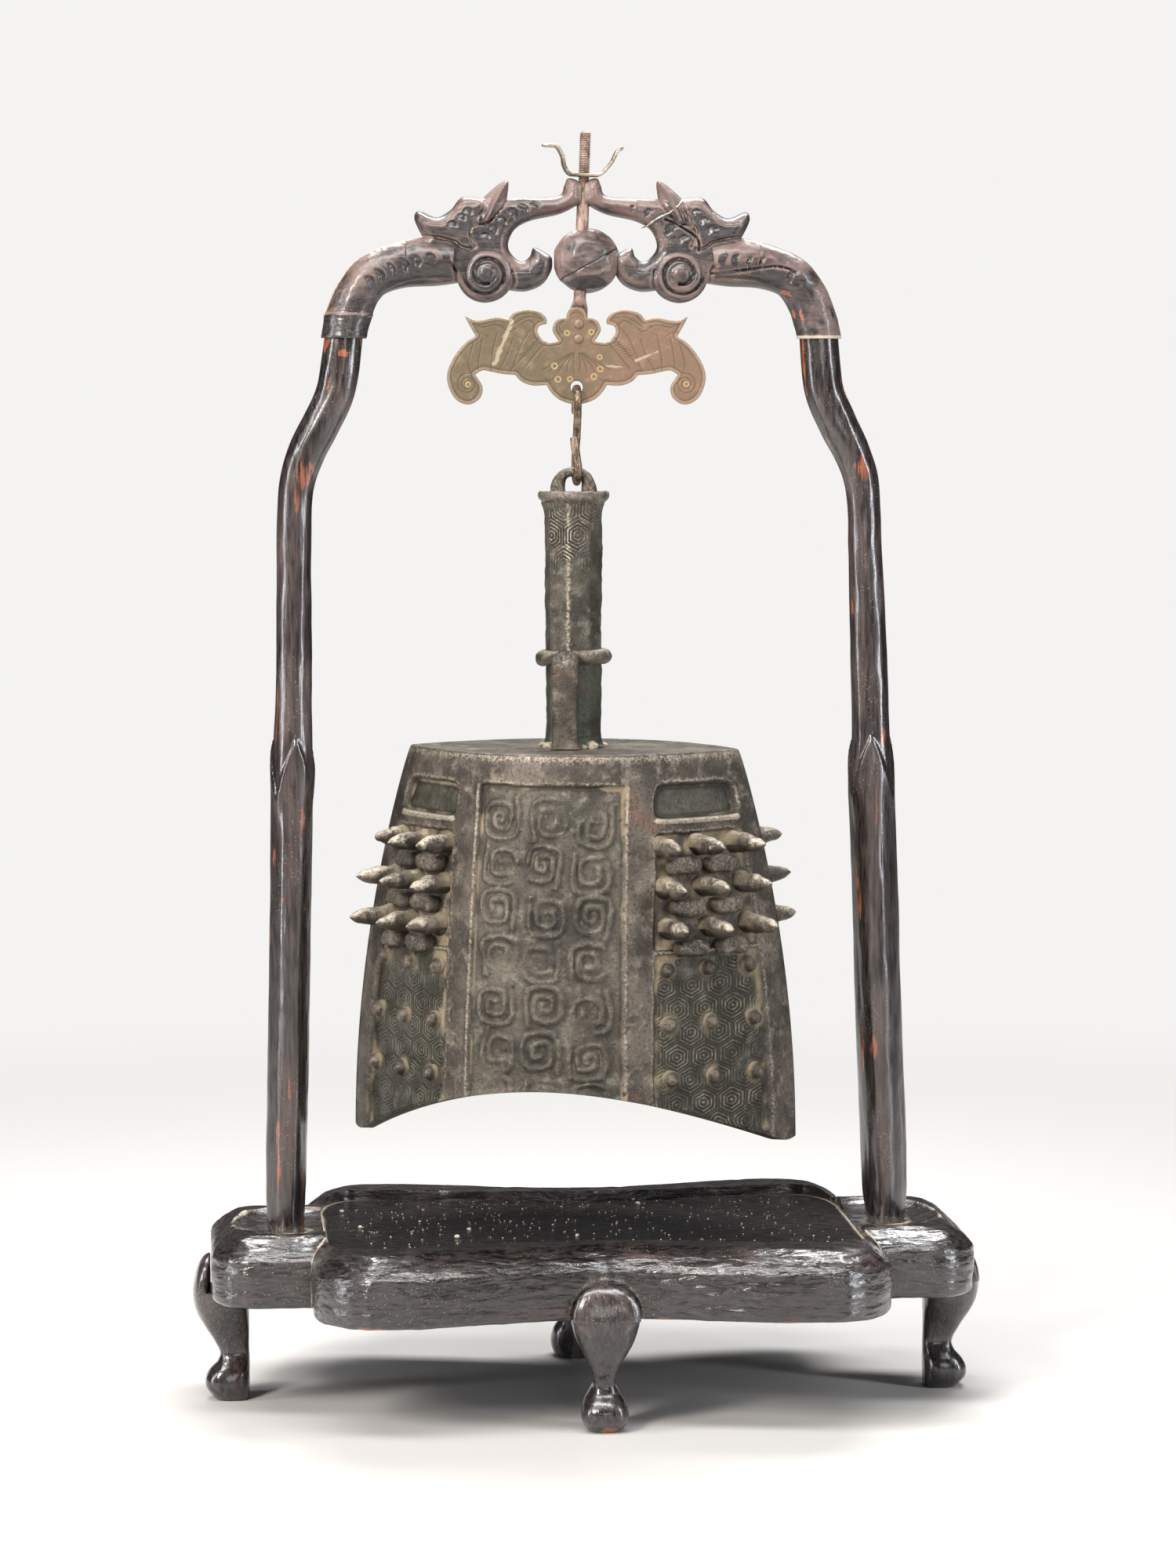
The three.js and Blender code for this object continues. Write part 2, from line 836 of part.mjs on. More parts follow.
function buildPosts() {
  const sides = [
    ['left', -1, 1],
    ['right', 1, rightPostGirthShare],
  ];
  for (const [name, side, girth] of sides) {
    const jointX = crestX + side * armLineX;
    const half = dowelLength / 2;
    const low = new THREE.Vector3(jointX, 0, postTop - half);
    const high = new THREE.Vector3(jointX, 0, postTop + half);
    const hole = rodAlong(dowelRadius + seatGap, low.clone().setZ(low.z - seatGap), high, 12);
    const post = solidFrom(postGeometry(side, girth)).subtract(solidFrom(hole));
    addPiece(name + '_post', geometryFrom(post), lacqueredWood());
    addPiece(name + '_dowel', rodAlong(dowelRadius, low, high, 12), paleWood());
  }
}

// Crest
function crestPoint([out, up]) {
  return new THREE.Vector2(out * crestSpan, crestFoot + up * crestRise);
}

// The dragon's edge: splines between the sharp corners, straight across the arm's foot
function crestShape() {
  const edge = [crestPoint(crestRunShares[0][0])];
  for (const runShares of crestRunShares) {
    const run = runShares.map(crestPoint);
    edge.push(...smoothPoints(run, run.length > 2 ? 2 : 1).slice(1));
  }
  return new THREE.Shape(edge.reverse());
}

function rodAxisAt(z) {
  const lean = Math.tan(THREE.MathUtils.degToRad(rodLean));
  return new THREE.Vector3(hookHoleX + lean * (z - hookHoleZ), 0, z);
}

function rodBore(low, high) {
  return solidFrom(rodAlong(rodRadius + rodClearance, rodAxisAt(low), rodAxisAt(high), 20));
}

// The right half about the seam at x = 0
function crestHalf() {
  const slab = extrudeAcross(crestShape(), crestThickness, crestBevel, 1);
  const line = new THREE.CatmullRomCurve3(
    armLineShares.map((share) => {
      const point = crestPoint(share);
      return new THREE.Vector3(point.x, 0, point.y);
    }),
  );
  const girth = armGirthShares.map((share, k) => [k / (armGirthShares.length - 1), share]);
  const arm = loft(sweptRings(line, 9, 14, (along) => armRadius * lookUp(girth, along)));
  const centre = crestPoint(voluteCentreShares);
  const face = voluteThickness / 2;
  const halfProfile = [
    new THREE.Vector2(voluteRadius, face - voluteEdge),
    new THREE.Vector2(voluteRadius - voluteEdge, face),
    new THREE.Vector2(voluteEyeRadius, face),
    new THREE.Vector2(voluteEyeRadius - voluteEyeHeight, face + voluteEyeHeight),
    new THREE.Vector2(0, face + voluteEyeHeight),
  ];
  const otherHalf = halfProfile.map((p) => new THREE.Vector2(p.x, -p.y)).reverse();
  const volute = new THREE.LatheGeometry([...otherHalf, ...halfProfile], 16);
  volute.translate(centre.x, 0, centre.y);
  return solidFrom(slab).add(solidFrom(arm)).add(solidFrom(volute));
}

function buildCrest() {
  const half = geometryFrom(crestHalf());
  const halves = [
    ['left', -1, mirrored(half)],
    ['right', 1, half],
  ];
  const pearl = solidFrom(pearlGeometry());
  for (const [name, side, geometry] of halves) {
    geometry.translate(crestX, 0, 0);
    const jointX = crestX + side * armLineX;
    const low = new THREE.Vector3(jointX, 0, postTop - overrun);
    const high = new THREE.Vector3(jointX, 0, postTop + dowelLength / 2 + seatGap);
    const carved = solidFrom(geometry)
      .subtract(rodBore(crestFoot, crestTop + overrun))
      .subtract(solidFrom(rodAlong(dowelRadius + seatGap, low, high, 12)))
      .subtract(solidFrom(grownPearl()));
    addPiece('crest_' + name, geometryFrom(carved), carvedWood());
  }
  const bored = pearl.subtract(rodBore(pearlZ - 2 * pearlHalfHeight, pearlZ + 2 * pearlHalfHeight));
  addPiece('pearl', geometryFrom(bored), carvedWood());
}

// The pearl is a ball cut flat-ish all round, so its section is a little squarer than a circle
function pearlBody(grow) {
  const ball = new THREE.SphereGeometry(1, 14, 8);
  ball.rotateX(Math.PI / 2);
  const place = ball.attributes.position;
  const soften = (value) => Math.sign(value) * Math.abs(value) ** pearlPower;
  for (let i = 0; i < place.count; i += 1) {
    place.setXYZ(
      i,
      pearlX + (pearlHalfWidth + grow) * place.getX(i),
      (pearlHalfDepth + grow) * soften(place.getY(i)),
      pearlZ + (pearlHalfHeight + grow) * place.getZ(i),
    );
  }
  return ball;
}

function pearlGeometry() {
  return pearlBody(0);
}

function grownPearl() {
  return pearlBody(seatGap);
}

function buildRepairWire() {
  const front = -crestThickness / 2 - seatGap - repairWireRadius;
  const line = new THREE.CatmullRomCurve3(
    repairWireShares.map((share) => {
      const point = crestPoint(share);
      return new THREE.Vector3(crestX + point.x, front, point.y);
    }),
  );
  const section = new THREE.Shape().absarc(0, 0, repairWireRadius, 0, 2 * Math.PI);
  const wire = new THREE.ExtrudeGeometry(section, {
    steps: 8,
    curveSegments: 3,
    bevelEnabled: false,
    extrudePath: line,
  });
  addPiece('repair_wire', wire, silverWire());
}

// Hanger
function buildRod() {
  const lobeTop = batShares[0][1] * plateHeight;
  const shoulder = rodTopAboveHole - threadLength;
  const profile = [
    new THREE.Vector2(0, lobeTop + seatGap),
    new THREE.Vector2(rodRadius, lobeTop + seatGap),
    new THREE.Vector2(rodRadius, shoulder),
    new THREE.Vector2(threadRadius, shoulder + rodRadius - threadRadius),
    new THREE.Vector2(threadRadius, rodTopAboveHole - threadTipShares[1] * threadRadius),
    new THREE.Vector2(threadTipShares[0] * threadRadius, rodTopAboveHole),
    new THREE.Vector2(0, rodTopAboveHole),
  ];
  const rod = new THREE.LatheGeometry(profile, 16);
  rod.rotateX(Math.PI / 2);
  const endHeight = lowerRivetHeight - tongueBelowRivet + tongueHalfWidth;
  const tongue = new THREE.Shape();
  tongue.moveTo(tongueHalfWidth, lobeTop - rodRadius);
  tongue.lineTo(tongueNeckShare * rodRadius, lobeTop + rodRadius);
  tongue.lineTo(-tongueNeckShare * rodRadius, lobeTop + rodRadius);
  tongue.lineTo(-tongueHalfWidth, lobeTop - rodRadius);
  tongue.absarc(0, endHeight, tongueHalfWidth, Math.PI, 2 * Math.PI);
  const flat = extrudeAcross(tongue, tongueThickness, 0, 0);
  flat.translate(0, plateBack + seatGap + tongueThickness / 2, 0);
  const body = solidFrom(rod).add(solidFrom(flat));
  const geometry = geometryFrom(body);
  geometry.rotateY(THREE.MathUtils.degToRad(rodLean));
  geometry.translate(hookHoleX, 0, hookHoleZ);
  let drilled = solidFrom(geometry);
  for (const height of [upperRivetHeight, lowerRivetHeight]) {
    drilled = drilled.subtract(solidFrom(rivetHole(height)));
  }
  addPiece('hanger_rod', geometryFrom(drilled), rustyIron());
}

function rivetCentre(height) {
  return rodAxisAt(hookHoleZ + height);
}

function rivetHole(height) {
  const centre = rivetCentre(height);
  const from = centre.clone().setY(-overrun);
  const to = centre.clone().setY(overrun);
  return rodAlong(rivetShank + seatGap, from, to, 12);
}

function buildPlate() {
  const halfEdge = batShares.map(([x, z]) => new THREE.Vector2(x * plateHalfWidth, z * plateHeight));
  const left = halfEdge.slice(1, -1).reverse().map((p) => new THREE.Vector2(-p.x, p.y));
  const outline = new THREE.Shape([...halfEdge, ...left].reverse());
  const plate = extrudeAcross(outline, plateThickness, 0, 0);
  plate.translate(hookHoleX, 0, hookHoleZ);
  const hole = new THREE.Vector3(hookHoleX, -overrun, hookHoleZ);
  let solid = solidFrom(plate).subtract(
    solidFrom(rodAlong(hookHoleRadius, hole, hole.clone().setY(overrun), 20)),
  );
  for (const height of [upperRivetHeight, lowerRivetHeight]) {
    solid = solid.subtract(solidFrom(rivetHole(height)));
  }
  addPiece('bat_plate', geometryFrom(solid), plateBrass());
}

// A rivet is one revolved body: a domed head in front, the shank, and a flatter head behind the rod's tongue
function buildRivets() {
  const front = -plateBack - seatGap;
  const back = plateBack + seatGap + tongueThickness + seatGap;
  const profile = [
    new THREE.Vector2(0, front - rivetHeadHeight),
    new THREE.Vector2(rivetHead * rivetDomeShares[0], front - rivetHeadHeight * rivetDomeShares[1]),
    new THREE.Vector2(rivetHead, front),
    new THREE.Vector2(rivetShank, front),
    new THREE.Vector2(rivetShank, back),
    new THREE.Vector2(rivetHead, back),
    new THREE.Vector2(rivetHead * rivetBackShares[0], back + rivetHeadHeight * rivetBackShares[1]),
    new THREE.Vector2(0, back + rivetHeadHeight * rivetBackShares[1]),
  ];
  const names = [
    ['upper_rivet', upperRivetHeight],
    ['lower_rivet', lowerRivetHeight],
  ];
  for (const [name, height] of names) {
    const rivet = new THREE.LatheGeometry(profile, 8);
    const centre = rivetCentre(height);
    rivet.translate(centre.x, 0, centre.z);
    addPiece(name, rivet, plateBrass());
  }
}

function buildWingNut() {
  const line = new THREE.SplineCurve(
    stripLineShares.map(([x, z]) => new THREE.Vector2(x * stripSpan, z * stripRise)),
  );
  const steps = 20;
  const upper = [];
  const lower = [];
  for (let i = 0; i <= steps; i += 1) {
    const point = line.getPointAt(i / steps);
    const tangent = line.getTangentAt(i / steps);
    const normal = new THREE.Vector2(-tangent.y, tangent.x).multiplyScalar(stripThickness / 2);
    upper.push(point.clone().add(normal));
    lower.push(point.clone().sub(normal));
  }
  const strip = extrudeAcross(new THREE.Shape([...lower, ...upper.reverse()]), stripWidth, 0, 0);
  const flatHalf = stripFlatShare * stripSpan;
  const lift = flatHalf * Math.sin(THREE.MathUtils.degToRad(rodLean)) + seatGap + stripThickness / 2;
  const seat = (crestTop + lift - hookHoleZ) / Math.cos(THREE.MathUtils.degToRad(rodLean));
  strip.translate(0, 0, seat);
  const hole = rodAlong(
    threadRadius + seatGap,
    new THREE.Vector3(0, 0, seat - overrun),
    new THREE.Vector3(0, 0, seat + overrun),
    16,
  );
  const geometry = geometryFrom(solidFrom(strip).subtract(solidFrom(hole)));
  geometry.rotateY(THREE.MathUtils.degToRad(rodLean));
  geometry.translate(hookHoleX, 0, hookHoleZ);
  addPiece('wing_nut', geometry, stripBrass());
}

// The S-hook lies in the plane that runs front to back: up behind the plate, through its hole,
// down in front, back behind the arch and up again through the arch's eye
function buildHook() {
  const points = [];
  const upperZ = hookTopZ - upperBight;
  const arc = (centreZ, radius, from, to) => {
    for (let i = 0; i <= 6; i += 1) {
      const angle = THREE.MathUtils.degToRad(from + ((to - from) * i) / 6);
      points.push(new THREE.Vector3(hookHoleX, radius * Math.cos(angle), centreZ + radius * Math.sin(angle)));
    }
  };
  points.push(new THREE.Vector3(hookHoleX, upperBight, upperZ - backTipDrop));
  arc(upperZ, upperBight, 0, 180);
  const drop = upperZ - swingZ;
  hookCrossShares.forEach(([reach, fall]) => {
    points.push(new THREE.Vector3(hookHoleX, reach * lowerBight, upperZ - fall * drop));
  });
  arc(swingZ, lowerBight, 0, -180);
  points.push(new THREE.Vector3(hookHoleX + frontTipSide / 2, -lowerBight, swingZ + frontTipRise / 2));
  points.push(new THREE.Vector3(hookHoleX + frontTipSide, -lowerBight, swingZ + frontTipRise));
  const line = new THREE.CatmullRomCurve3(points, false, 'centripetal');
  const section = new THREE.Shape().absarc(0, 0, wireRadius, 0, 2 * Math.PI);
  const wire = new THREE.ExtrudeGeometry(section, {
    steps: 38,
    curveSegments: 4,
    bevelEnabled: false,
    extrudePath: line,
  });
  addPiece('s_hook', wire, hookWire());
}

// Bell shell: an almond section that grows downwards, with an arched mouth
function bellHalfWidth(z) {
  const down = THREE.MathUtils.clamp((bellTop - z) / (bellTop - bellMouth), 0, 1);
  return topHalfWidth + (mouthHalfWidth - topHalfWidth) * Math.sin((Math.PI / 2) * down ** flarePower);
}

function bellHalfDepth(z) {
  const down = THREE.MathUtils.clamp((bellTop - z) / (bellTop - bellMouth), 0, 1);
  return topHalfDepth + (mouthHalfDepth - topHalfDepth) * Math.sin((Math.PI / 2) * down ** flarePower);
}

function rimHeight(share) {
  return bellMouth + mouthRise * (1 - share * share);
}

// A shell surface set in by a wall, thicker at the two edges; open runs it down past the mouth
function bellBody(inset, top, rows, open) {
  const half = 12;
  const rings = [];
  for (let j = 0; j <= rows; j += 1) {
    const points = [];
    for (let i = 0; i < 2 * half; i += 1) {
      const angle = (i / half) * Math.PI;
      const share = Math.cos(angle);
      const bottom = open ? bellMouth - overrun : rimHeight(share);
      const z = bottom + (top - bottom) * (j / rows);
      const x = share * (bellHalfWidth(z) - edgeWallShare * inset);
      const bow = (1 - Math.abs(share) ** sectionPower) * (bellHalfDepth(z) - inset);
      points.push(new THREE.Vector3(x, Math.sign(Math.sin(angle)) * (i % half === 0 ? 0 : bow), z));
    }
    rings.push(points);
  }
  return loft(rings);
}

// A window through both faces, drawn in x and z
function panelWindow(points) {
  return solidFrom(extrudeAcross(new THREE.Shape(points), 4 * mouthHalfDepth, 0, 0));
}

function innerEdgeAt(z) {
  const down = (bellTop - z) / (bellTop - bellMouth);
  return sidePanelInner + (sidePanelInnerMouth - sidePanelInner) * down;
}

function sideWindow(side, top, bottom, steps) {
  const inner = [];
  const outer = [];
  for (let i = 0; i <= steps; i += 1) {
    const z = bottom + ((top - bottom) * i) / steps;
    inner.push(new THREE.Vector2(side * innerEdgeAt(z), z));
    outer.push(new THREE.Vector2(side * sidePanelOuterShare * bellHalfWidth(z), z));
  }
  const points = [...outer, ...inner.reverse()];
  return panelWindow(side > 0 ? points : points.reverse());
}

// A point on the shell's face and its outward direction; face is -1 for the front and 1 for the back
function onShell(share, z, face, inset) {
  const place = (s) => {
    const x = s * bellHalfWidth(z);
    const y = face * (1 - Math.abs(s) ** sectionPower) * (bellHalfDepth(z) - inset);
    return new THREE.Vector3(x, y, z);
  };
  const along = new THREE.Vector3().subVectors(place(share + shellStepShare), place(share - shellStepShare));
  const normal = new THREE.Vector3(along.y, -along.x, 0).normalize();
  if (normal.y * face < 0) {
    normal.negate();
  }
  return { point: place(share), normal, along: along.normalize() };
}

// A stud or a knob: a revolved point that stands on the shell and droops a little
function studOn(seat, profileShares, radius, length, droop, sides) {
  const profile = [
    new THREE.Vector2(0, -studRoot),
    new THREE.Vector2(radius, -studRoot),
    ...profileShares.map(([r, h]) => new THREE.Vector2(r * radius, h * length)),
    new THREE.Vector2(0, length),
  ];
  const stud = new THREE.LatheGeometry(profile, sides);
  const angle = THREE.MathUtils.degToRad(droop);
  const aim = seat.normal.clone().multiplyScalar(Math.cos(angle));
  aim.z -= Math.sin(angle);
  stud.applyQuaternion(new THREE.Quaternion().setFromUnitVectors(new THREE.Vector3(0, 1, 0), aim));
  stud.translate(seat.point.x, seat.point.y, seat.point.z);
  return solidFrom(stud);
}

function barOn(seat) {
  const reach = seat.along.clone().multiplyScalar(barLength / 2);
  return solidFrom(rodAlong(barRadius, seat.point.clone().sub(reach), seat.point.clone().add(reach), 6));
}

function reliefPieces() {
  const pieces = [];
  for (const face of [-1, 1]) {
    for (const side of [-1, 1]) {
      for (let row = 0; row < studRows; row += 1) {
        const studZ = bellTop - studFirstDrop - row * studPitch;
        const knobZ = bellTop - knobFirstDrop - row * knobPitch;
        studColumnShares.forEach((share, k) => {
          const seat = onShell(side * share, studZ, face, panelSink);
          pieces.push(studOn(seat, studProfileShares, studRadius, studLength, studDroop, 6));
          if (k > 0) {
            const middle = (share + studColumnShares[k - 1]) / 2;
            pieces.push(barOn(onShell(side * middle, studZ - studPitch / 2, face, panelSink)));
          }
        });
        knobColumnShares.forEach((share) => {
          const seat = onShell(side * share, knobZ, face, panelSink);
          pieces.push(studOn(seat, knobProfileShares, knobRadius, knobHeight, 0, 6));
        });
      }
    }
  }
  return pieces;
}

const bell = new THREE.Group();
bell.position.set(bellX, 0, 0);
bell.rotation.z = THREE.MathUtils.degToRad(bellTurn);
part.add(bell);

function buildBellBody() {
  const smallTop = bellTop - seamBandTop;
  const smallBottom = smallTop - smallPanelHeight;
  const studTop = smallBottom - panelBand;
  const studBottom = studTop - studPanelHeight;
  const knobTop = studBottom - panelLine;
  const below = bellMouth - overrun;
  let body = solidFrom(bellBody(0, bellTop, 6, false));
  const centre = [
    new THREE.Vector2(-centrePanelMouthHalf, below),
    new THREE.Vector2(centrePanelMouthHalf, below),
    new THREE.Vector2(centrePanelTopHalf, smallTop),
    new THREE.Vector2(-centrePanelTopHalf, smallTop),
  ];
  body = body.subtract(panelWindow(centre));
  for (const side of [-1, 1]) {
    body = body.subtract(sideWindow(side, smallTop, smallBottom, 1));
    body = body.subtract(sideWindow(side, studTop, studBottom, 2));
    body = body.subtract(sideWindow(side, knobTop, below, 3));
  }
  body = body.add(solidFrom(bellBody(panelSink, bellTop - seamBandTop / 2, 5, false)));
  for (const piece of reliefPieces()) {
    body = body.add(piece);
  }
  body = body.subtract(solidFrom(bellBody(wall, bellTop - crownThickness, 4, true)));
  addPiece('bell_body', geometryFrom(body), bellBronze(), bell);
}

// Handle: faceted shaft, cap, ring, standing strap and the arch that the hook holds
function archShape() {
  const shape = new THREE.Shape();
  const foot = capTop - capThickness / 2;
  const outerCentre = archTopZ - archHalfWidth;
  shape.moveTo(archHalfWidth, foot);
  shape.lineTo(archHalfWidth, outerCentre);
  shape.absarc(0, outerCentre, archHalfWidth, 0, Math.PI);
  shape.lineTo(-archHalfWidth, foot);
  shape.lineTo(-eyeHalfWidth, foot);
  shape.absarc(eyeCorner - eyeHalfWidth, eyeTopZ - eyeCorner, eyeCorner, Math.PI, Math.PI / 2, true);
  shape.absarc(eyeHalfWidth - eyeCorner, eyeTopZ - eyeCorner, eyeCorner, Math.PI / 2, 0, true);
  shape.lineTo(eyeHalfWidth, foot);
  return shape;
}

function buildHandle() {
  const foot = bellTop + seatGap;
  const shaftHeight = capTop - capThickness / 2 - foot;
  const shaft = new THREE.CylinderGeometry(handleTopRadius, handleFootRadius, shaftHeight, handleSides);
  shaft.rotateX(Math.PI / 2);
  shaft.translate(0, 0, foot + shaftHeight / 2);
  const flareRadius = handleFootRadius + handleFootFlare;
  const flare = new THREE.CylinderGeometry(handleFootRadius, flareRadius, handleFootFlare, handleSides);
  flare.rotateX(Math.PI / 2);
  flare.translate(0, 0, foot + handleFootFlare / 2);
  const capProfile = [
    new THREE.Vector2(0, capTop - capProfileShares[0][1] * capThickness),
    ...capProfileShares.map(([r, down]) => new THREE.Vector2(r * capRadius, capTop - down * capThickness)),
    new THREE.Vector2(0, capTop),
  ];
  const cap = new THREE.LatheGeometry(capProfile, 20);
  cap.rotateX(Math.PI / 2);
  const ring = new THREE.TorusGeometry(ringRadius, ringTube, 6, 20);
  const ringZ = bellTop + ringHeight;
  ring.translate(0, 0, ringZ);
  const strapInner = -(handleFootRadius + barSlot);
  const strapOuter = strapInner - strapThickness;
  const strapPlan = new THREE.Shape([
    new THREE.Vector2(-strapWidth / 2, strapInner),
    new THREE.Vector2(-strapWidth / 2, strapOuter + strapRound),
    new THREE.Vector2(-strapWidth / 2 + strapRound, strapOuter),
    new THREE.Vector2(strapWidth / 2 - strapRound, strapOuter),
    new THREE.Vector2(strapWidth / 2, strapOuter + strapRound),
    new THREE.Vector2(strapWidth / 2, strapInner),
  ]);
  const strapTop = ringZ + ringTube;
  const strap = new THREE.ExtrudeGeometry(strapPlan, { depth: strapTop - foot, bevelEnabled: false });
  strap.translate(0, 0, foot);
  const lug = boxBetween(
    new THREE.Vector3(-strapWidth / 2, strapInner - strapThickness / 2, strapTop - strapLug),
    new THREE.Vector3(strapWidth / 2, -handleFootRadius / 2, strapTop),
  );
  const arch = extrudeAcross(archShape(), archDepth, archBevel, 2);
  let body = solidFrom(shaft);
  for (const piece of [flare, cap, ring, strap, lug, arch]) {
    body = body.add(solidFrom(piece));
  }
  addPiece('bell_handle', geometryFrom(body), bellBronze(), bell);
}

buildFrame();
buildLegs();
buildPosts();
buildCrest();
buildRepairWire();
buildRod();
buildPlate();
buildRivets();
buildWingNut();
buildHook();
buildBellBody();
buildHandle();

export default part;
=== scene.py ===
import math

import bpy
import numpy as np
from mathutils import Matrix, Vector, geometry


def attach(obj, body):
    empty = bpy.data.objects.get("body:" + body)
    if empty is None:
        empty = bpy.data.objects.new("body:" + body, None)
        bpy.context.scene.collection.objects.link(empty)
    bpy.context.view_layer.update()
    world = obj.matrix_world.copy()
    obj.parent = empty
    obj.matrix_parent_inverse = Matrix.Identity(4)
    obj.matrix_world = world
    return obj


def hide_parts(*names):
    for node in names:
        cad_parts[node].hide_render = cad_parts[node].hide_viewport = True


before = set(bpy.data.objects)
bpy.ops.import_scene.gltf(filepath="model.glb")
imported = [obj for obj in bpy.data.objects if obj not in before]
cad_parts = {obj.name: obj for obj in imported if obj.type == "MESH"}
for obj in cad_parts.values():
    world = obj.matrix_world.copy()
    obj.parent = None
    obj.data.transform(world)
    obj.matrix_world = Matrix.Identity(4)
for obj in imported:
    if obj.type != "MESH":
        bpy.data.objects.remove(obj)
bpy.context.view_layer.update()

# All modelling is in millimetres in the frame of the solids; buildObject turns it into metres.
rng = np.random.default_rng(7)


# Small numeric tools

def smoothStep(low, high, value):
    t = np.clip((np.asarray(value, float) - low) / (high - low), 0, 1)
    return t * t * (3 - 2 * t)


def bump(distance, width):
    return np.exp(-(np.asarray(distance) / width) ** 2)


def table(pairs, value):
    pairs = np.asarray(pairs, float)
    return np.interp(value, pairs[:, 0], pairs[:, 1])


def catmull(points, steps):
    p = np.asarray(points, float)
    padded = np.vstack([p[:1], p, p[-1:]])
    t = (np.arange(steps) / steps)[:, None]
    parts = []
    for a, b, c, d in zip(padded[:-3], padded[1:-2], padded[2:-1], padded[3:]):
        parts.append(0.5 * ((2 * b) + (c - a) * t + (2 * a - 5 * b + 4 * c - d) * t ** 2
                            + (3 * b - a - 3 * c + d) * t ** 3))
    return np.vstack(parts + [p[-1:]])


def resample(path, count):
    path = np.asarray(path, float)
    length = np.concatenate([[0], np.cumsum(np.linalg.norm(np.diff(path, axis=0), axis=1))])
    at = np.linspace(0, length[-1], count)
    return np.stack([np.interp(at, length, path[:, k]) for k in range(path.shape[1])], axis=1)


def lattice(ix, iy, iz, seed):
    h = (ix * 374761393 + iy * 668265263 + iz * 2147483647 + seed * 1274126177) & 0xFFFFFFFF
    h = ((h ^ (h >> 13)) * 1274126177) & 0xFFFFFFFF
    return ((h ^ (h >> 16)) & 0xFFFF) / 32767.5 - 1


# value noise: lattice values in -1..1, blended with s = t^2 (3 - 2t) on each axis
def noiseAt(points, scale, seed=0):
    q = np.asarray(points, float) / np.asarray(scale, float)
    base = np.floor(q).astype(np.int64)
    t = q - base
    t = t * t * (3 - 2 * t)
    total = 0
    for dx in (0, 1):
        for dy in (0, 1):
            for dz in (0, 1):
                weight = (np.where(dx, t[..., 0], 1 - t[..., 0]) * np.where(dy, t[..., 1], 1 - t[..., 1])
                          * np.where(dz, t[..., 2], 1 - t[..., 2]))
                total = total + weight * lattice(base[..., 0] + dx, base[..., 1] + dy, base[..., 2] + dz, seed)
    return total


def fractal(points, scale, seed=0, octaves=3):
    total = 0
    for k in range(octaves):
        total = total + noiseAt(points, np.asarray(scale, float) / 2 ** k, seed + 17 * k) / 2 ** k
    return total


# Least distance of 2-D points from an open polyline
def lineDistance(points, line):
    line = np.asarray(line, float)
    best = np.full(len(points), 1e9)
    for a, b in zip(line[:-1], line[1:]):
        ab = b - a
        t = np.clip(((points - a) @ ab) / max(ab @ ab, 1e-12), 0, 1)
        off = points - a - t[:, None] * ab
        best = np.minimum(best, np.sqrt((off ** 2).sum(axis=1)))
    return best


def insidePolygon(points, polygon):
    x, y = points[:, 0], points[:, 1]
    inside = np.zeros(len(points), bool)
    for a, b in zip(polygon, np.roll(polygon, -1, axis=0)):
        cross = (a[1] > y) != (b[1] > y)
        with np.errstate(divide="ignore", invalid="ignore"):
            at = (b[0] - a[0]) * (y - a[1]) / (b[1] - a[1]) + a[0]
        inside ^= cross & (x < at)
    return inside


def closedLine(line):
    return np.vstack([line, line[:1]])


def unit(vectors):
    return vectors / np.maximum(np.linalg.norm(vectors, axis=-1, keepdims=True), 1e-9)


def tangents(path):
    return unit(np.gradient(path, axis=0))


def turns(count):
    return np.linspace(0, 2 * math.pi, count, endpoint=False)


# sign(v) |v|^p, which squares a round section for p under 1
def signedPower(value, power):
    return np.sign(value) * np.abs(value) ** power


def surface(x, y, z):
    return np.stack(np.broadcast_arrays(x, y, z), axis=-1)


def around(radius, turn, z):
    return surface(radius * np.cos(turn), radius * np.sin(turn), z)


# Rotation about the vertical, for points in rows: p @ spinZ(a)
def spinZ(degrees):
    a = math.radians(degrees)
    return np.array([[math.cos(a), math.sin(a), 0], [-math.sin(a), math.cos(a), 0], [0, 0, 1]])


# Mesh assembly: patches of points with named values per point, which the materials read

woodMasks = ("worn", "dust", "chip")
bronzeMasks = ("worn", "dust", "red", "green", "hexOn", "hexmm")
brassMasks = ("worn", "groove", "band", "ring", "side")


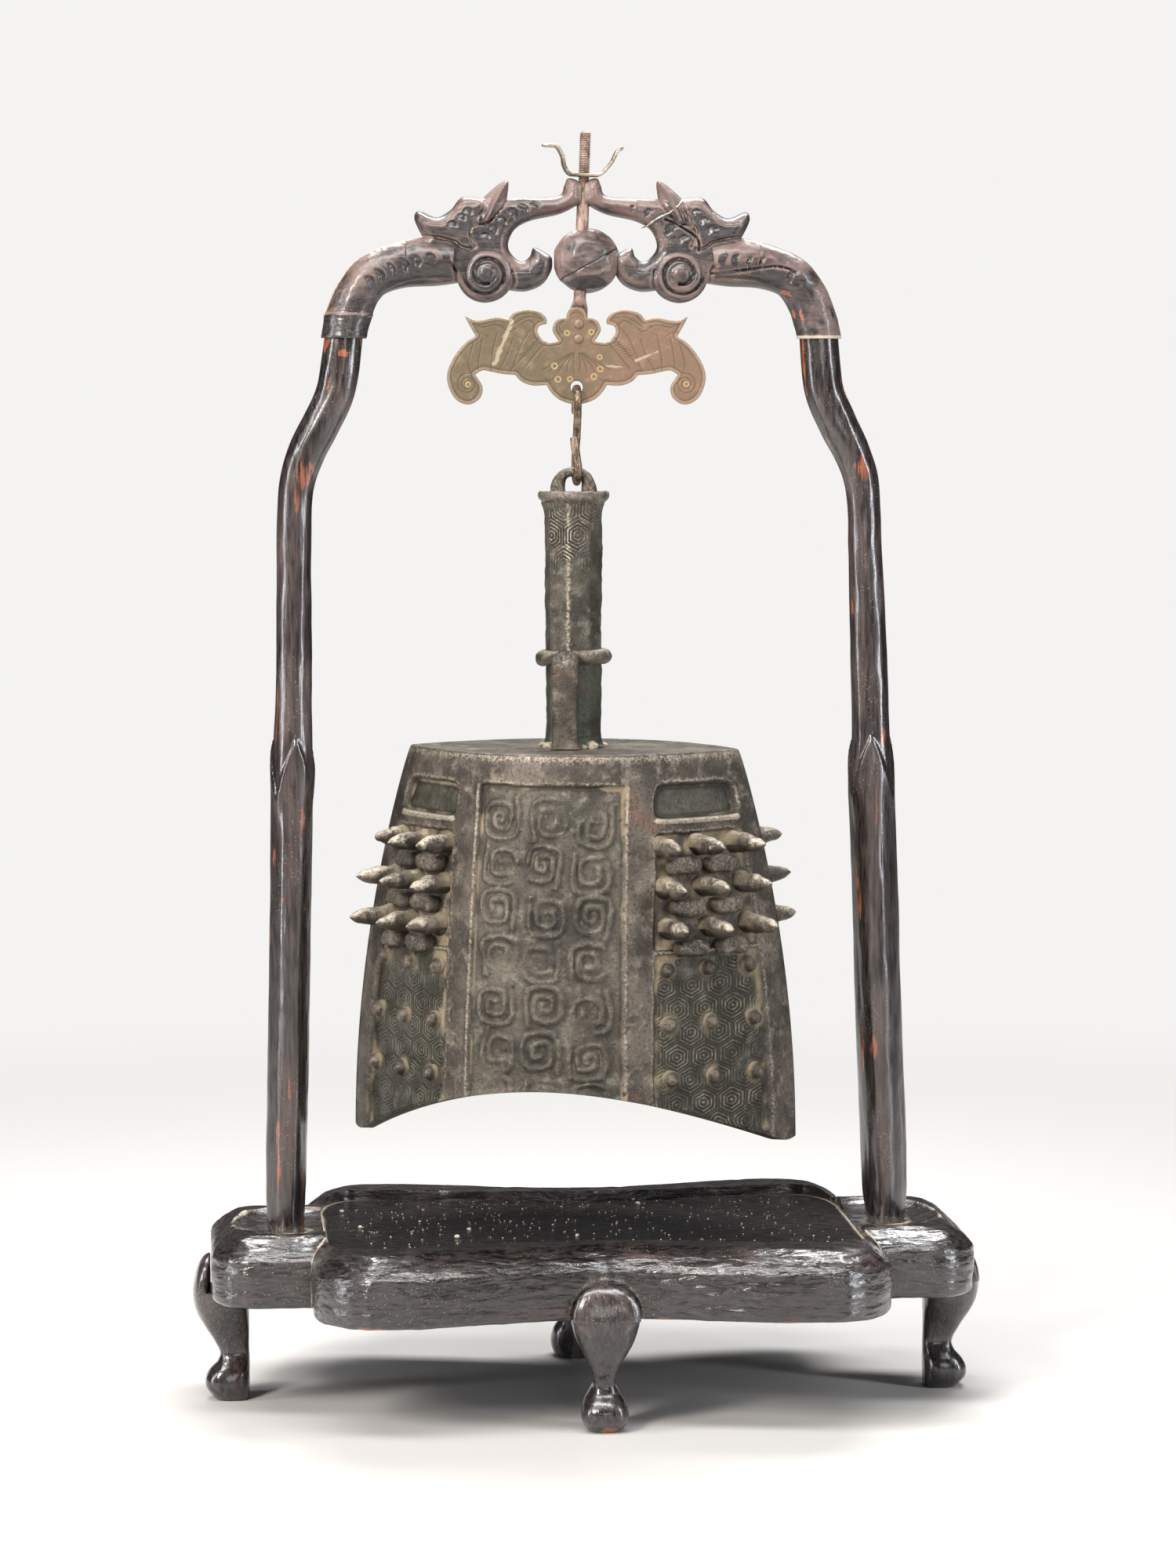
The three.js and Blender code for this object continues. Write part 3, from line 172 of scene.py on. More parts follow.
class Patches:
    def __init__(self, names=woodMasks):
        self.points, self.values, self.faces, self.count, self.names = [], [], [], 0, names

    def add(self, points, faces, **values):
        flat = points.reshape(-1, 3)
        row = np.zeros((len(flat), len(self.names)))
        for k, name in enumerate(self.names):
            if name in values:
                row[:, k] = np.ravel(values[name])
        self.points.append(flat)
        self.values.append(row)
        self.faces.extend((np.asarray(block) + self.count) for block in faces)
        self.count += len(flat)

    # points is rows x columns x 3; caps close the first and last row with a fan round their middle
    def grid(self, points, closeRows=False, closeCols=False, flip=False, capStart=False, capEnd=False, **values):
        rows, cols = points.shape[:2]
        index = np.arange(rows * cols).reshape(rows, cols)
        a = index if closeRows else index[:-1]
        nextRow = np.roll(index, -1, axis=0) if closeRows else index[1:]
        if closeCols:
            quads = np.stack([a, np.roll(a, -1, axis=1), np.roll(nextRow, -1, axis=1), nextRow], axis=-1)
        else:
            quads = np.stack([a[:, :-1], a[:, 1:], nextRow[:, 1:], nextRow[:, :-1]], axis=-1)
        quads = quads.reshape(-1, 4)
        blocks = [quads[:, ::-1] if flip else quads]
        extra, number = [], rows * cols
        for wanted, ring, turn in ((capStart, index[0], not flip), (capEnd, index[-1], flip)):
            if wanted:
                extra.append(points.reshape(-1, 3)[ring].mean(axis=0))
                fan = np.stack([ring, np.roll(ring, -1), np.full(cols, number)], axis=-1)
                blocks.append(fan[:, ::-1] if turn else fan)
                number += 1
        values = {k: np.concatenate([np.broadcast_to(v, (rows, cols)).reshape(-1), np.zeros(len(extra))])
                  for k, v in values.items()}
        self.add(np.vstack([points.reshape(-1, 3)] + extra), blocks, **values)

    # a skin that closes round its columns, with both ends capped
    def closed(self, points, **values):
        self.grid(points, closeCols=True, capStart=True, capEnd=True, **values)


def buildObject(name, patches, material, body, replaced=(), sharp=50):
    vertices = np.vstack(patches.points) * 0.001
    values = np.vstack(patches.values)
    mesh = bpy.data.meshes.new(name)
    mesh.vertices.add(len(vertices))
    mesh.vertices.foreach_set("co", vertices.astype(np.float32).ravel())
    loops = np.concatenate([block.ravel() for block in patches.faces])
    sizes = np.concatenate([np.full(len(block), block.shape[1]) for block in patches.faces])
    mesh.loops.add(len(loops))
    mesh.loops.foreach_set("vertex_index", loops.astype(np.int32))
    mesh.polygons.add(len(sizes))
    mesh.polygons.foreach_set("loop_start", np.concatenate([[0], np.cumsum(sizes)[:-1]]).astype(np.int32))
    mesh.polygons.foreach_set("loop_total", sizes.astype(np.int32))
    mesh.polygons.foreach_set("use_smooth", np.ones(len(sizes), bool))
    mesh.update(calc_edges=True)
    mesh.validate()
    mesh.set_sharp_from_angle(angle=math.radians(sharp))
    for k, key in enumerate(patches.names):
        layer = mesh.attributes.new(key, "FLOAT", "POINT")
        layer.data.foreach_set("value", values[:, k].astype(np.float32))
    piece = bpy.data.objects.new(name, mesh)
    bpy.context.scene.collection.objects.link(piece)
    mesh.materials.append(material)
    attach(piece, body)
    if replaced:
        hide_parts(*replaced)
    print(name, len(vertices), "points")
    return piece


def buildWood(name, patches, material, sharp=60):
    buildObject(name + "_wood", patches, material, "stand", (name,), sharp)


def buildBronze(name, patches, replaced, sharp=60):
    buildObject(name, patches, bellBronze, "bell", (replaced,), sharp)


# Surfaces of revolution: p(t, a) = centre + r(t) (cos a, sin a) + h(t) up, turned so that up is the given direction
def lathe(patches, profile, centre=(0, 0, 0), up=(0, 0, 1), sides=32, **values):
    profile = np.asarray(profile, float)
    turn = turns(sides)
    up = unit(np.asarray(up, float))
    side = unit(np.cross((0, 1, 0) if abs(up[1]) < 0.9 else (1, 0, 0), up))
    other = np.cross(up, side)
    ring = np.cos(turn)[:, None] * side + np.sin(turn)[:, None] * other
    points = np.asarray(centre, float) + profile[:, None, :1] * ring[None] + profile[:, None, 1:] * up
    patches.closed(points, **values)


# Tube along a path: p(s, a) = path(s) + r(s) (cos a side(s) + sin a across)
def tube(patches, path, radius, sides=20, across=(0, 1, 0), **values):
    tangent = tangents(path)
    across = np.asarray(across, float)
    other = unit(across - (tangent @ across)[:, None] * tangent)
    side = np.cross(other, tangent)
    turn = turns(sides)
    radius = np.broadcast_to(radius, (len(path),))[:, None, None] if np.ndim(radius) < 2 else radius[..., None]
    points = path[:, None, :] + radius * (np.cos(turn)[None, :, None] * side[:, None]
                                          + np.sin(turn)[None, :, None] * other[:, None])
    patches.closed(points, **values)


# Materials

def colour(text):
    value = np.array([int(text[k:k + 2], 16) for k in (1, 3, 5)]) / 255
    linear = np.where(value <= 0.04045, value / 12.92, ((value + 0.055) / 1.055) ** 2.4)
    return (*[float(v) for v in linear], 1.0)


# Links sockets to a node's inputs and sets its other inputs to plain values
def feed(tree, node, inputs):
    for key, value in inputs.items():
        if isinstance(value, bpy.types.NodeSocket):
            tree.links.new(value, node.inputs[key])
        else:
            node.inputs[key].default_value = value


def addNode(tree, kind, inputs=None, **settings):
    node = tree.nodes.new("ShaderNode" + kind)
    for key, value in settings.items():
        setattr(node, key, value)
    feed(tree, node, inputs or {})
    return node


def newMaterial(name):
    material = bpy.data.materials.new(name)
    material.use_nodes = True
    tree = material.node_tree
    tree.nodes.clear()
    shader = addNode(tree, "BsdfPrincipled")
    addNode(tree, "OutputMaterial", {"Surface": shader.outputs[0]})
    return material, tree, shader


def placeNode(tree, stretch=(1, 1, 1)):
    coord = addNode(tree, "TexCoord")
    return addNode(tree, "Mapping", {"Vector": coord.outputs["Object"], "Scale": stretch}).outputs[0]


# Noise whose lumps are about sizeMm across
def noiseNode(tree, vector, sizeMm, detail=4, rough=0.55, distortion=0.0):
    inputs = {"Vector": vector, "Scale": 1000 / sizeMm, "Detail": detail, "Roughness": rough, "Distortion": distortion}
    return addNode(tree, "TexNoise", inputs).outputs["Fac"]


def rampNode(tree, value, low, high):
    inputs = {"Value": value, "From Min": low, "From Max": high, "To Min": 0.0, "To Max": 1.0}
    return addNode(tree, "MapRange", inputs, interpolation_type="SMOOTHSTEP").outputs["Result"]


def mathNode(tree, operation, a, b, clamp=False):
    return addNode(tree, "Math", {0: a, 1: b}, operation=operation, use_clamp=clamp).outputs[0]


def times(tree, a, b, clamp=False):
    return mathNode(tree, "MULTIPLY", a, b, clamp)


# Sum of (socket or number, factor) pairs
def weighted(tree, *terms, clamp=False):
    total = None
    for value, factor in terms:
        part = value if factor == 1 else times(tree, value, factor)
        total = part if total is None else mathNode(tree, "ADD", total, part, clamp)
    return total


def mixColour(tree, factor, a, b):
    return addNode(tree, "Mix", {"Factor": factor, 6: a, 7: b}, data_type="RGBA").outputs[2]


# Lays a colour over the base by share times the mask
def tint(tree, base, text, mask, share=1, clamp=False):
    return mixColour(tree, mask if share == 1 else times(tree, mask, share, clamp), base, colour(text))


def valueNodes(tree, names):
    return [addNode(tree, "Attribute", attribute_name=name).outputs["Fac"] for name in names]


# layers: (height socket, distance in mm, strength), coarse first
def bumpChain(tree, shader, layers):
    normal = None
    for height, distance, strength in layers:
        inputs = {"Height": height, "Distance": distance / 1000, "Strength": strength}
        if normal:
            inputs["Normal"] = normal
        normal = addNode(tree, "Bump", inputs).outputs[0]
    feed(tree, shader, {"Normal": normal})
    return normal


# Old dark lacquer on carved wood: near-black gloss, rubbed through to greyish mauve on ridges, red undercoat and
# orange bare wood at chips, pale dust in the joints. The wear values and wrinkle crests also carry painted highlights
# and painted shade. stretch lengthens the streaks along the grain.
def lacqueredWood(name, stretch, dark, rubbedAndLit, red, gloss, rubAndLightLow, rubAndLightHigh, rippleMm, ripple, coat=0.7, shine=0.6):
    material, tree, shader = newMaterial(name)
    along, plain = placeNode(tree, stretch), placeNode(tree)
    worn, dust, chip = valueNodes(tree, woodMasks)
    streaks = noiseNode(tree, along, 9, 6, 0.62)
    patches = noiseNode(tree, plain, 38, 3, 0.5)
    fine = noiseNode(tree, along, 1.6, 4, 0.6)
    ripples = noiseNode(tree, along, rippleMm, 4, 0.55, 0.4)
    # wrinkle crests are painted lighter and their hollows darker: a painted highlight and painted shade that show the
    # wrinkles
    crests = mathNode(tree, "SUBTRACT", ripples, 0.5)
    rubAndLight = weighted(tree, (streaks, 0.38), (patches, 0.47), (fine, 0.15), (worn, 0.34), (crests, 0.3 * ripple))
    rubAndLightMask = rampNode(tree, rubAndLight, rubAndLightLow, rubAndLightHigh)
    base = mixColour(tree, rubAndLightMask, colour(dark), colour(rubbedAndLit))
    base = tint(tree, base, red, rampNode(tree, noiseNode(tree, along, 17, 5, 0.6), 0.56, 0.72), 0.5)
    paler = tint(tree, base, "#8d807c", 0.4)
    base = mixColour(tree, times(tree, rampNode(tree, fine, 0.36, 0.62), 0.2), base, paler)
    base = tint(tree, base, "#85492f", rampNode(tree, weighted(tree, (chip, 1), (fine, 0.5)), 0.82, 0.95))
    grains = addNode(tree, "TexVoronoi", {"Vector": plain, "Scale": 620.0, "Randomness": 1.0}).outputs["Distance"]
    lint = times(tree, rampNode(tree, grains, 0.17, 0.08), rampNode(tree, patches, 0.46, 0.6))
    base = tint(tree, base, "#c9c0b8", lint, 0.6)
    dustNoise = noiseNode(tree, plain, 1.8, 5, 0.75)
    dustMask = rampNode(tree, weighted(tree, (dust, 1), (dustNoise, 0.7)), 0.72, 1.15)
    base = tint(tree, base, "#b3a695", dustMask, 0.8)
    rough = weighted(tree, (gloss, 1), (rubAndLightMask, 0.2), (dustMask, 0.4), (fine, 0.16), clamp=True)
    feed(tree, shader, {"Base Color": base, "Roughness": rough, "Specular IOR Level": shine, "Coat Roughness": 0.14,
                        "Coat Weight": mathNode(tree, "SUBTRACT", coat, dustMask, True)})
    layers = [(ripples, 0.8 * ripple, 1.0), (streaks, 0.3, 1.0), (fine, 0.07 * ripple, 1.0), (grains, 0.03, 0.5)]
    feed(tree, shader, {"Coat Normal": bumpChain(tree, shader, layers)})
    return material


# Plain metals: tarnish clouds over a lighter metal, with fine scratches
def plainMetal(name, light, dark, stain, metallic, rough, lumps, scratch=(1, 1, 1)):
    material, tree, shader = newMaterial(name)
    clouds = noiseNode(tree, placeNode(tree), lumps, 5, 0.6)
    fine = noiseNode(tree, placeNode(tree, scratch), lumps / 9, 4, 0.65)
    base = mixColour(tree, rampNode(tree, clouds, 0.36, 0.64), colour(dark), colour(light))
    base = tint(tree, base, stain, rampNode(tree, fine, 0.5, 0.7), 0.6)
    feed(tree, shader, {"Base Color": base, "Metallic": metallic,
                        "Roughness": weighted(tree, (rough - 0.12, 1), (fine, 0.3))})
    bumpChain(tree, shader, [(clouds, 0.1, 0.3), (fine, 0.08, 0.5)])
    return material


# Cast bronze under an old patina: dark green-brown ground, grey-tan where rubbed, tan dust in hollows, verdigris in
# the sunk fields, reddish oxide patches; painted shade darkens the hollows and painted light brightens the studs'
# upper sides. hexmm draws the worn rings inside each hexagon.
def bronzePatina():
    material, tree, shader = newMaterial("aged_cast_bronze")
    plain = placeNode(tree)
    worn, dust, red, green, hexOn, hexmm = valueNodes(tree, bronzeMasks)
    clouds = noiseNode(tree, plain, 34, 5, 0.6)
    blotch = noiseNode(tree, plain, 9, 5, 0.62)
    grain = noiseNode(tree, plain, 1.5, 5, 0.7)
    sand = noiseNode(tree, plain, 0.55, 3, 0.7)
    base = mixColour(tree, rampNode(tree, clouds, 0.36, 0.64), colour("#332e28"), colour("#5f574d"))
    base = tint(tree, base, "#84786c", rampNode(tree, blotch, 0.5, 0.68), 0.6)
    base = tint(tree, base, "#4c5546", times(tree, green, rampNode(tree, blotch, 0.34, 0.6)), 0.75)
    base = tint(tree, base, "#6b8070", rampNode(tree, noiseNode(tree, plain, 4.5, 4, 0.6), 0.6, 0.72), 0.35)
    base = tint(tree, base, "#67493f", rampNode(tree, weighted(tree, (red, 0.5), (blotch, 0.6)), 0.5, 0.85), 0.6)
    rings = mathNode(tree, "SINE", times(tree, hexmm, 2 * math.pi / hexRingPitch), 0.0)
    breaking = times(tree, times(tree, rings, hexOn), rampNode(tree, clouds, 0.3, 0.5))
    # painted shade: negative wear values darken the hollows towards near-black
    base = tint(tree, base, "#191511", rampNode(tree, worn, -0.05, -0.8), 0.7)
    rubAndLightMask = rampNode(tree, weighted(tree, (worn, 0.42), (grain, 0.7), (breaking, 0.3)), 0.48, 0.84)
    base = tint(tree, base, "#b6ab9a", rubAndLightMask, 0.82)
    base = tint(tree, base, "#1a1612", rampNode(tree, breaking, 0.1, -0.7), 0.7)
    base = tint(tree, base, "#28231e", rampNode(tree, grain, 0.52, 0.34), 0.75)
    dustMask = rampNode(tree, weighted(tree, (dust, 0.62), (sand, 0.5), (breaking, -0.06)), 0.42, 0.92)
    base = tint(tree, base, "#8d7f65", dustMask, 0.7)
    base = tint(tree, base, "#b9ab92", rampNode(tree, sand, 0.62, 0.75), 0.4)
    feed(tree, shader, {"Base Color": base, "Metallic": weighted(tree, (0.55, 1), (dustMask, -0.5), clamp=True),
                        "Roughness": weighted(tree, (0.4, 1), (dustMask, 0.4), (rubAndLightMask, -0.08))})
    bumpChain(tree, shader, [(breaking, 0.4, 1.0), (blotch, 0.7, 0.8), (grain, 0.55, 1.0), (sand, 0.2, 1.0)])
    return material


# Old brass sheet: olive on the left and pinkish tan on the right, dark in the engraving, pale on punched rings,
# in scratched bands and along the filed edge
def oldBrass():
    material, tree, shader = newMaterial("old_engraved_brass")
    plain = placeNode(tree)
    worn, groove, band, ring, side = valueNodes(tree, brassMasks)
    clouds = noiseNode(tree, plain, 17, 5, 0.6)
    blotch = noiseNode(tree, plain, 5, 5, 0.65)
    grain = noiseNode(tree, plain, 1.1, 4, 0.7)
    across = rampNode(tree, weighted(tree, (side, 1), (mathNode(tree, "SUBTRACT", clouds, 0.5), 1)), 0.15, 0.85)
    base = mixColour(tree, across, colour("#685b48"), colour("#7b6250"))
    base = tint(tree, base, "#8f7c62", rampNode(tree, blotch, 0.5, 0.7), 0.5)
    base = tint(tree, base, "#655d45", rampNode(tree, clouds, 0.5, 0.34), 0.6)
    base = tint(tree, base, "#57493c", rampNode(tree, grain, 0.5, 0.34), 0.45)
    for text, mask, share in (("#b5a48d", worn, 0.5), ("#433729", groove, 0.75), ("#bdb094", band, 0.55),
                              ("#c0a473", ring, 0.85)):
        base = tint(tree, base, text, mask, share, clamp=True)
    feed(tree, shader, {"Base Color": base, "Metallic": 0.45, "Roughness": weighted(tree, (0.38, 1), (blotch, 0.3))})
    bumpChain(tree, shader, [(clouds, 0.5, 0.4), (blotch, 0.22, 0.5), (grain, 0.1, 0.6)])
    return material


hexRingPitch = 1.85  # mm between the rings inside a hexagon
woodSettings = dict(dark="#0c0807", rubbedAndLit="#3a2b27", red="#341811", gloss=0.2)
railWood = lacqueredWood("wrinkled_black_lacquer", (0.2, 0.4, 1.0), rubAndLightLow=0.6, rubAndLightHigh=0.92, rippleMm=3.4,
                         ripple=1.4, **woodSettings)
postWood = lacqueredWood("rubbed_lacquer_post", (1.0, 1.0, 0.1), rubAndLightLow=0.55, rubAndLightHigh=0.84, rippleMm=16,
                         ripple=0.7, **woodSettings)
legWood = lacqueredWood("rubbed_lacquer_leg", (1.0, 1.0, 0.3), rubAndLightLow=0.58, rubAndLightHigh=0.9, rippleMm=9,
                        ripple=0.6, **woodSettings)
carvedWood = lacqueredWood("carved_lacquer", (0.3, 1.0, 1.0), rubAndLightLow=0.43, rubAndLightHigh=0.74, rippleMm=9, ripple=0.6,
                           dark="#150e0d", rubbedAndLit="#66524b", red="#4e241b", gloss=0.32, coat=0.3)
trayLacquer = lacqueredWood("dusty_black_panel", (0.15, 1.0, 1.0), rubAndLightLow=0.7, rubAndLightHigh=0.95, rippleMm=22, ripple=0.3,
                            dark="#050404", rubbedAndLit="#2e2523", red="#170e0d", gloss=0.18, coat=0.0, shine=0.3)
rustyIron = plainMetal("rusted_rod", "#9a8377", "#5c483f", "#b39d90", 0.35, 0.5, 7, (1, 1, 0.3))
stripMetal = plainMetal("pale_brass_strip", "#b0a393", "#7c6d61", "#d6c7b6", 0.85, 0.36, 12, (0.3, 1, 1))
hookMetal = plainMetal("worn_hook_wire", "#8d7a66", "#4a3b2f", "#c7b7a2", 0.8, 0.42, 6, (1, 1, 0.3))
brightWire = plainMetal("bright_wire", "#c9c6c0", "#8f8b86", "#e6e3de", 1.0, 0.3, 3)
crumbStuff = plainMetal("pale_crumbs", "#cfc6b8", "#a59b8c", "#dfd8cc", 0.0, 0.9, 3)
bellBronze = bronzePatina()
plateBrass = oldBrass()
paleWood = plainMetal("bare_peg", "#a07b58", "#7d5c3e", "#b89470", 0.0, 0.8, 9, (1, 1, 0.15))


# Camera: the photograph's view, 5 degrees from the left and 4.6 degrees down. halfFrame is the tangent of half its
# vertical angle.
viewSizes = dict(azimuth=-5, pitch=4.58, distance=2.667, aimHeight=0.349, halfFrame=1 / 6)


def setCamera():
    v = viewSizes
    azimuth, pitch = math.radians(v["azimuth"]), math.radians(v["pitch"])
    forward = Vector((-math.sin(azimuth) * math.cos(pitch), math.cos(azimuth) * math.cos(pitch), -math.sin(pitch)))
    data = bpy.data.cameras.new("photo_camera")
    data.sensor_fit = "VERTICAL"
    data.angle = 2 * math.atan(v["halfFrame"])
    data.clip_start = 0.05
    camera = bpy.data.objects.new("photo_camera", data)
    camera.location = Vector((0, 0, v["aimHeight"])) - forward * v["distance"]
    camera.rotation_euler = forward.to_track_quat("-Z", "Y").to_euler()
    bpy.context.scene.collection.objects.link(camera)
    bpy.context.scene.camera = camera


# Name, place, aim, width and height in metres, watts, colour
lights = (("key_left", (-1.5, -1.9, 1.75), (0, 0, 0.35), (0.45, 1.0), 86, "#fff8f1"),
          ("strip_left", (-1.9, -0.5, 0.8), (0, 0, 0.4), (0.2, 1.5), 20, "#fdfbff"),
          ("strip_right", (1.8, -1.1, 0.9), (0, 0, 0.4), (0.22, 1.6), 30, "#f6f8ff"),
          ("top_back", (0.2, 0.8, 1.8), (0, 0, 0.2), (1.5, 0.5), 52, "#ffffff"),
          ("top_front", (-0.25, -0.9, 2.3), (0, 0, 0.1), (2.4, 0.55), 62, "#ffffff"),
          ("front_fill", (0.4, -3.4, 1.0), (0, 0, 0.35), (0.7, 0.9), 9, "#ffffff"))


def addLight(name, place, aim, size, watts, text):
    data = bpy.data.lights.new(name, "AREA")
    data.shape = "RECTANGLE"
    data.size, data.size_y = size
    data.energy = watts
    data.color = colour(text)[:3]
    light = bpy.data.objects.new(name, data)
    light.location = place
    light.rotation_euler = (Vector(aim) - Vector(place)).to_track_quat("-Z", "Y").to_euler()
    bpy.context.scene.collection.objects.link(light)


# Pale table top; for the camera's own rays it melts into the white surround away from the object
def floorMaterial():
    material, tree, shader = newMaterial("pale_floor")
    feed(tree, shader, {"Base Color": colour("#c4c2bf"), "Roughness": 0.4})
    coord = addNode(tree, "TexCoord").outputs["Object"]
    away = addNode(tree, "VectorMath", {0: coord}, operation="LENGTH").outputs["Value"]
    seen = addNode(tree, "LightPath").outputs["Is Camera Ray"]
    factor = times(tree, rampNode(tree, away, 0.45, 1.7), seen)
    glow = addNode(tree, "Emission", {"Color": colour("#f4f3f1"), "Strength": 1.0})
    both = addNode(tree, "MixShader", {0: factor, 1: shader.outputs[0], 2: glow.outputs[0]})
    out = next(node for node in tree.nodes if node.type == "OUTPUT_MATERIAL")
    feed(tree, out, {"Surface": both.outputs[0]})
    return material


def setStage():
    scene = bpy.context.scene
    scene.view_settings.view_transform = "Standard"
    world = bpy.data.worlds.new("studio")
    scene.world = world
    world.use_nodes = True
    tree = world.node_tree
    tree.nodes.clear()
    path = addNode(tree, "LightPath")
    shown = addNode(tree, "Background", {"Color": colour("#f4f3f1"), "Strength": 1.0})
    filling = addNode(tree, "Background", {"Color": colour("#e9ebee"), "Strength": 0.07})
    both = addNode(tree, "MixShader", {0: path.outputs["Is Camera Ray"], 1: filling.outputs[0], 2: shown.outputs[0]})
    addNode(tree, "OutputWorld", {"Surface": both.outputs[0]})
    mesh = bpy.data.meshes.new("floor")
    reach = 14.0
    corners = [(-reach, -reach, 0), (reach, -reach, 0), (reach, reach, 0), (-reach, reach, 0)]
    mesh.from_pydata(corners, [], [(0, 1, 2, 3)])
    floor = bpy.data.objects.new("floor", mesh)
    scene.collection.objects.link(floor)
    mesh.materials.append(floorMaterial())
    for light in lights:
        addLight(*light)


setCamera()
setStage()
print("stage done")


# Base frame: plan outline and sunk opening from the same shares as the solids
baseSizes = dict(halfWidth=214.8, lobeDepth=69, lobeCorner=26, bodyWidth=159.4, cornerDepth=137, low=63.3, top=102,
                 shoulder=20, drop=11, recessWidth=151.4, recessEnd=56, recessCorner=97, panel=96, dish=168.4,
                 dishWide=34, dishDeep=46, dishSink=7, post=171.9, socket=12.5)
frontEdge = [(1, 0), (1, 0.5), (0.955, 0.76), (0.86, 0.95), (0.76, 1), (0.51, 0.91), (0.25, 0.75), (0.07, 0.655),
             (0, 0.665)]
recessEdge = [(1, 0), (0.965, 0.62), (0.87, 1), (0.66, 0.95), (0.35, 0.74), (0, 0.62)]


def outlineQuarter():
    b = baseSizes
    turn = np.linspace(0, math.pi / 2, 14)
    lobe = np.stack([b["halfWidth"] - b["lobeCorner"] * (1 - np.cos(turn)),
                     b["lobeDepth"] - b["lobeCorner"] * (1 - np.sin(turn))], axis=1)
    lobe = np.vstack([[b["halfWidth"], 0], lobe, [b["bodyWidth"], b["lobeDepth"]]])
    bulge = b["cornerDepth"] - b["lobeDepth"]
    edge = catmull([(x * b["bodyWidth"], b["lobeDepth"] + y * bulge) for x, y in frontEdge], 10)
    return lobe, edge


def recessQuarter():
    b = baseSizes
    bulge = b["recessCorner"] - b["recessEnd"]
    return catmull([(x * b["recessWidth"], b["recessEnd"] + y * bulge) for x, y in recessEdge], 10)


# The whole line from one quarter of it, and the whole front from its right half
def fourFold(quarter):
    right = np.vstack([quarter[::-1] * (1, -1), quarter[1:]])
    return np.vstack([right, right[::-1] * (-1, 1)])


def twoFold(half):
    return np.vstack([half, (half[::-1] * (-1, 1))[1:]])


# Squared distance from the middle of a post's dish, 1 at its rim
def dishReach(plan, side):
    b = baseSizes
    return ((plan[..., 0] - side * b["dish"]) / b["dishWide"]) ** 2 + (plan[..., 1] / b["dishDeep"]) ** 2


# Shoulder: z(d) = top - drop (1 - d / shoulder)^1.8, with d the distance in from the outline
def shoulderHeight(points, outline):
    b = baseSizes
    d = lineDistance(points, outline)
    z = b["top"] - b["drop"] * (1 - np.minimum(d / b["shoulder"], 1)) ** 1.8 - 1.5 * np.exp(-d / 1.1)
    for side in (-1, 1):
        out = 1 - dishReach(points, side)
        dish = b["top"] - b["dishSink"] * np.sqrt(np.clip(out, 0, 1)) + np.where(out > 0, 0, 9)
        z = np.minimum(z, dish)
    return z


# A rail's side: height and how far it lies in from the outline
railSide = ((63.3, 5), (63.6, 3), (64.6, 1.4), (66, 0.5), (69, 0.1), (73, 0), (77, -0.5), (81, -0.7), (84, -0.5),
            (87, 0), (89.4, 0))
railHeights = (63.3, 63.6, 64.2, 65, 66, *np.linspace(67, 89.4, 24))


# One rail: rows run along its outer edge, columns run round its section from the opening's foot to the sunk panel
def railGrid(outer, inner, outline):
    tangent = tangents(outer)
    outward = np.stack([tangent[:, 1], -tangent[:, 0]], axis=1)
    half = len(outer) // 2
    outward *= np.sign(outward[half] @ outer[half])
    columns = [surface(*(inner + (outer - inner) * f).T, baseSizes["low"]) for f in (0, 0.3, 0.6)]
    columns += [surface(*(outer - outward * table(railSide, z)).T, z) for z in railHeights]
    for f in np.linspace(0, 1, 46)[1:] ** 1.25:
        plan = outer + (inner - outer) * f
        columns.append(surface(*plan.T, shoulderHeight(plan, outline)))
    seat = columns[-1][:, 2]
    for drop in (0.8, 2.0, 4.0, 8.0):
        lower = inner - unit(outer - inner) * (0.35 * (1 - math.exp(-drop)))
        columns.append(surface(*lower.T, seat - drop))
    return np.stack(columns, axis=1)


# Wrinkled lacquer: short ripples that run along the rail
def rippled(points, seed, backwards):
    points = points[::-1] if backwards else points
    normal = unit(np.cross(np.gradient(points, axis=1), np.gradient(points, axis=0)))
    ridge = 1 - np.abs(fractal(points, (22, 15, 3.6), seed, 3))
    lift = 0.6 * (ridge - 0.6) + 0.3 * fractal(points, (40, 30, 16), seed + 5, 2)
    high = np.array((baseSizes["halfWidth"] - 0.15, baseSizes["cornerDepth"] - 0.1, 200))
    moved = np.clip(points + normal * lift[..., None], high * (-1, -1, 0), high)
    return (moved[::-1], lift[::-1]) if backwards else (moved, lift)


# Dust in the mitres at both ends of a rail
def mitreDust(count):
    rows = np.arange(count)
    return 0.75 * np.exp(-np.minimum(rows, rows[::-1]) / 1.6)[:, None]


# Chips: ellipsoids of the given middle and radius, longer along the grain
def chipsAt(points, spots):
    total = np.zeros(points.shape[:-1])
    for x, y, z, radius in spots:
        d = np.linalg.norm((points - (x, y, z)) * (0.35, 0.7, 1.4), axis=-1)
        total = np.maximum(total, np.clip(1.15 - d / radius, 0, 1))
    return total


chipSpots = [(-129, -135, 62, 9), (30, -117, 62, 8), (96, -133, 62, 7), (-100, -133, 61, 6), (10, -115, 61.5, 6)]


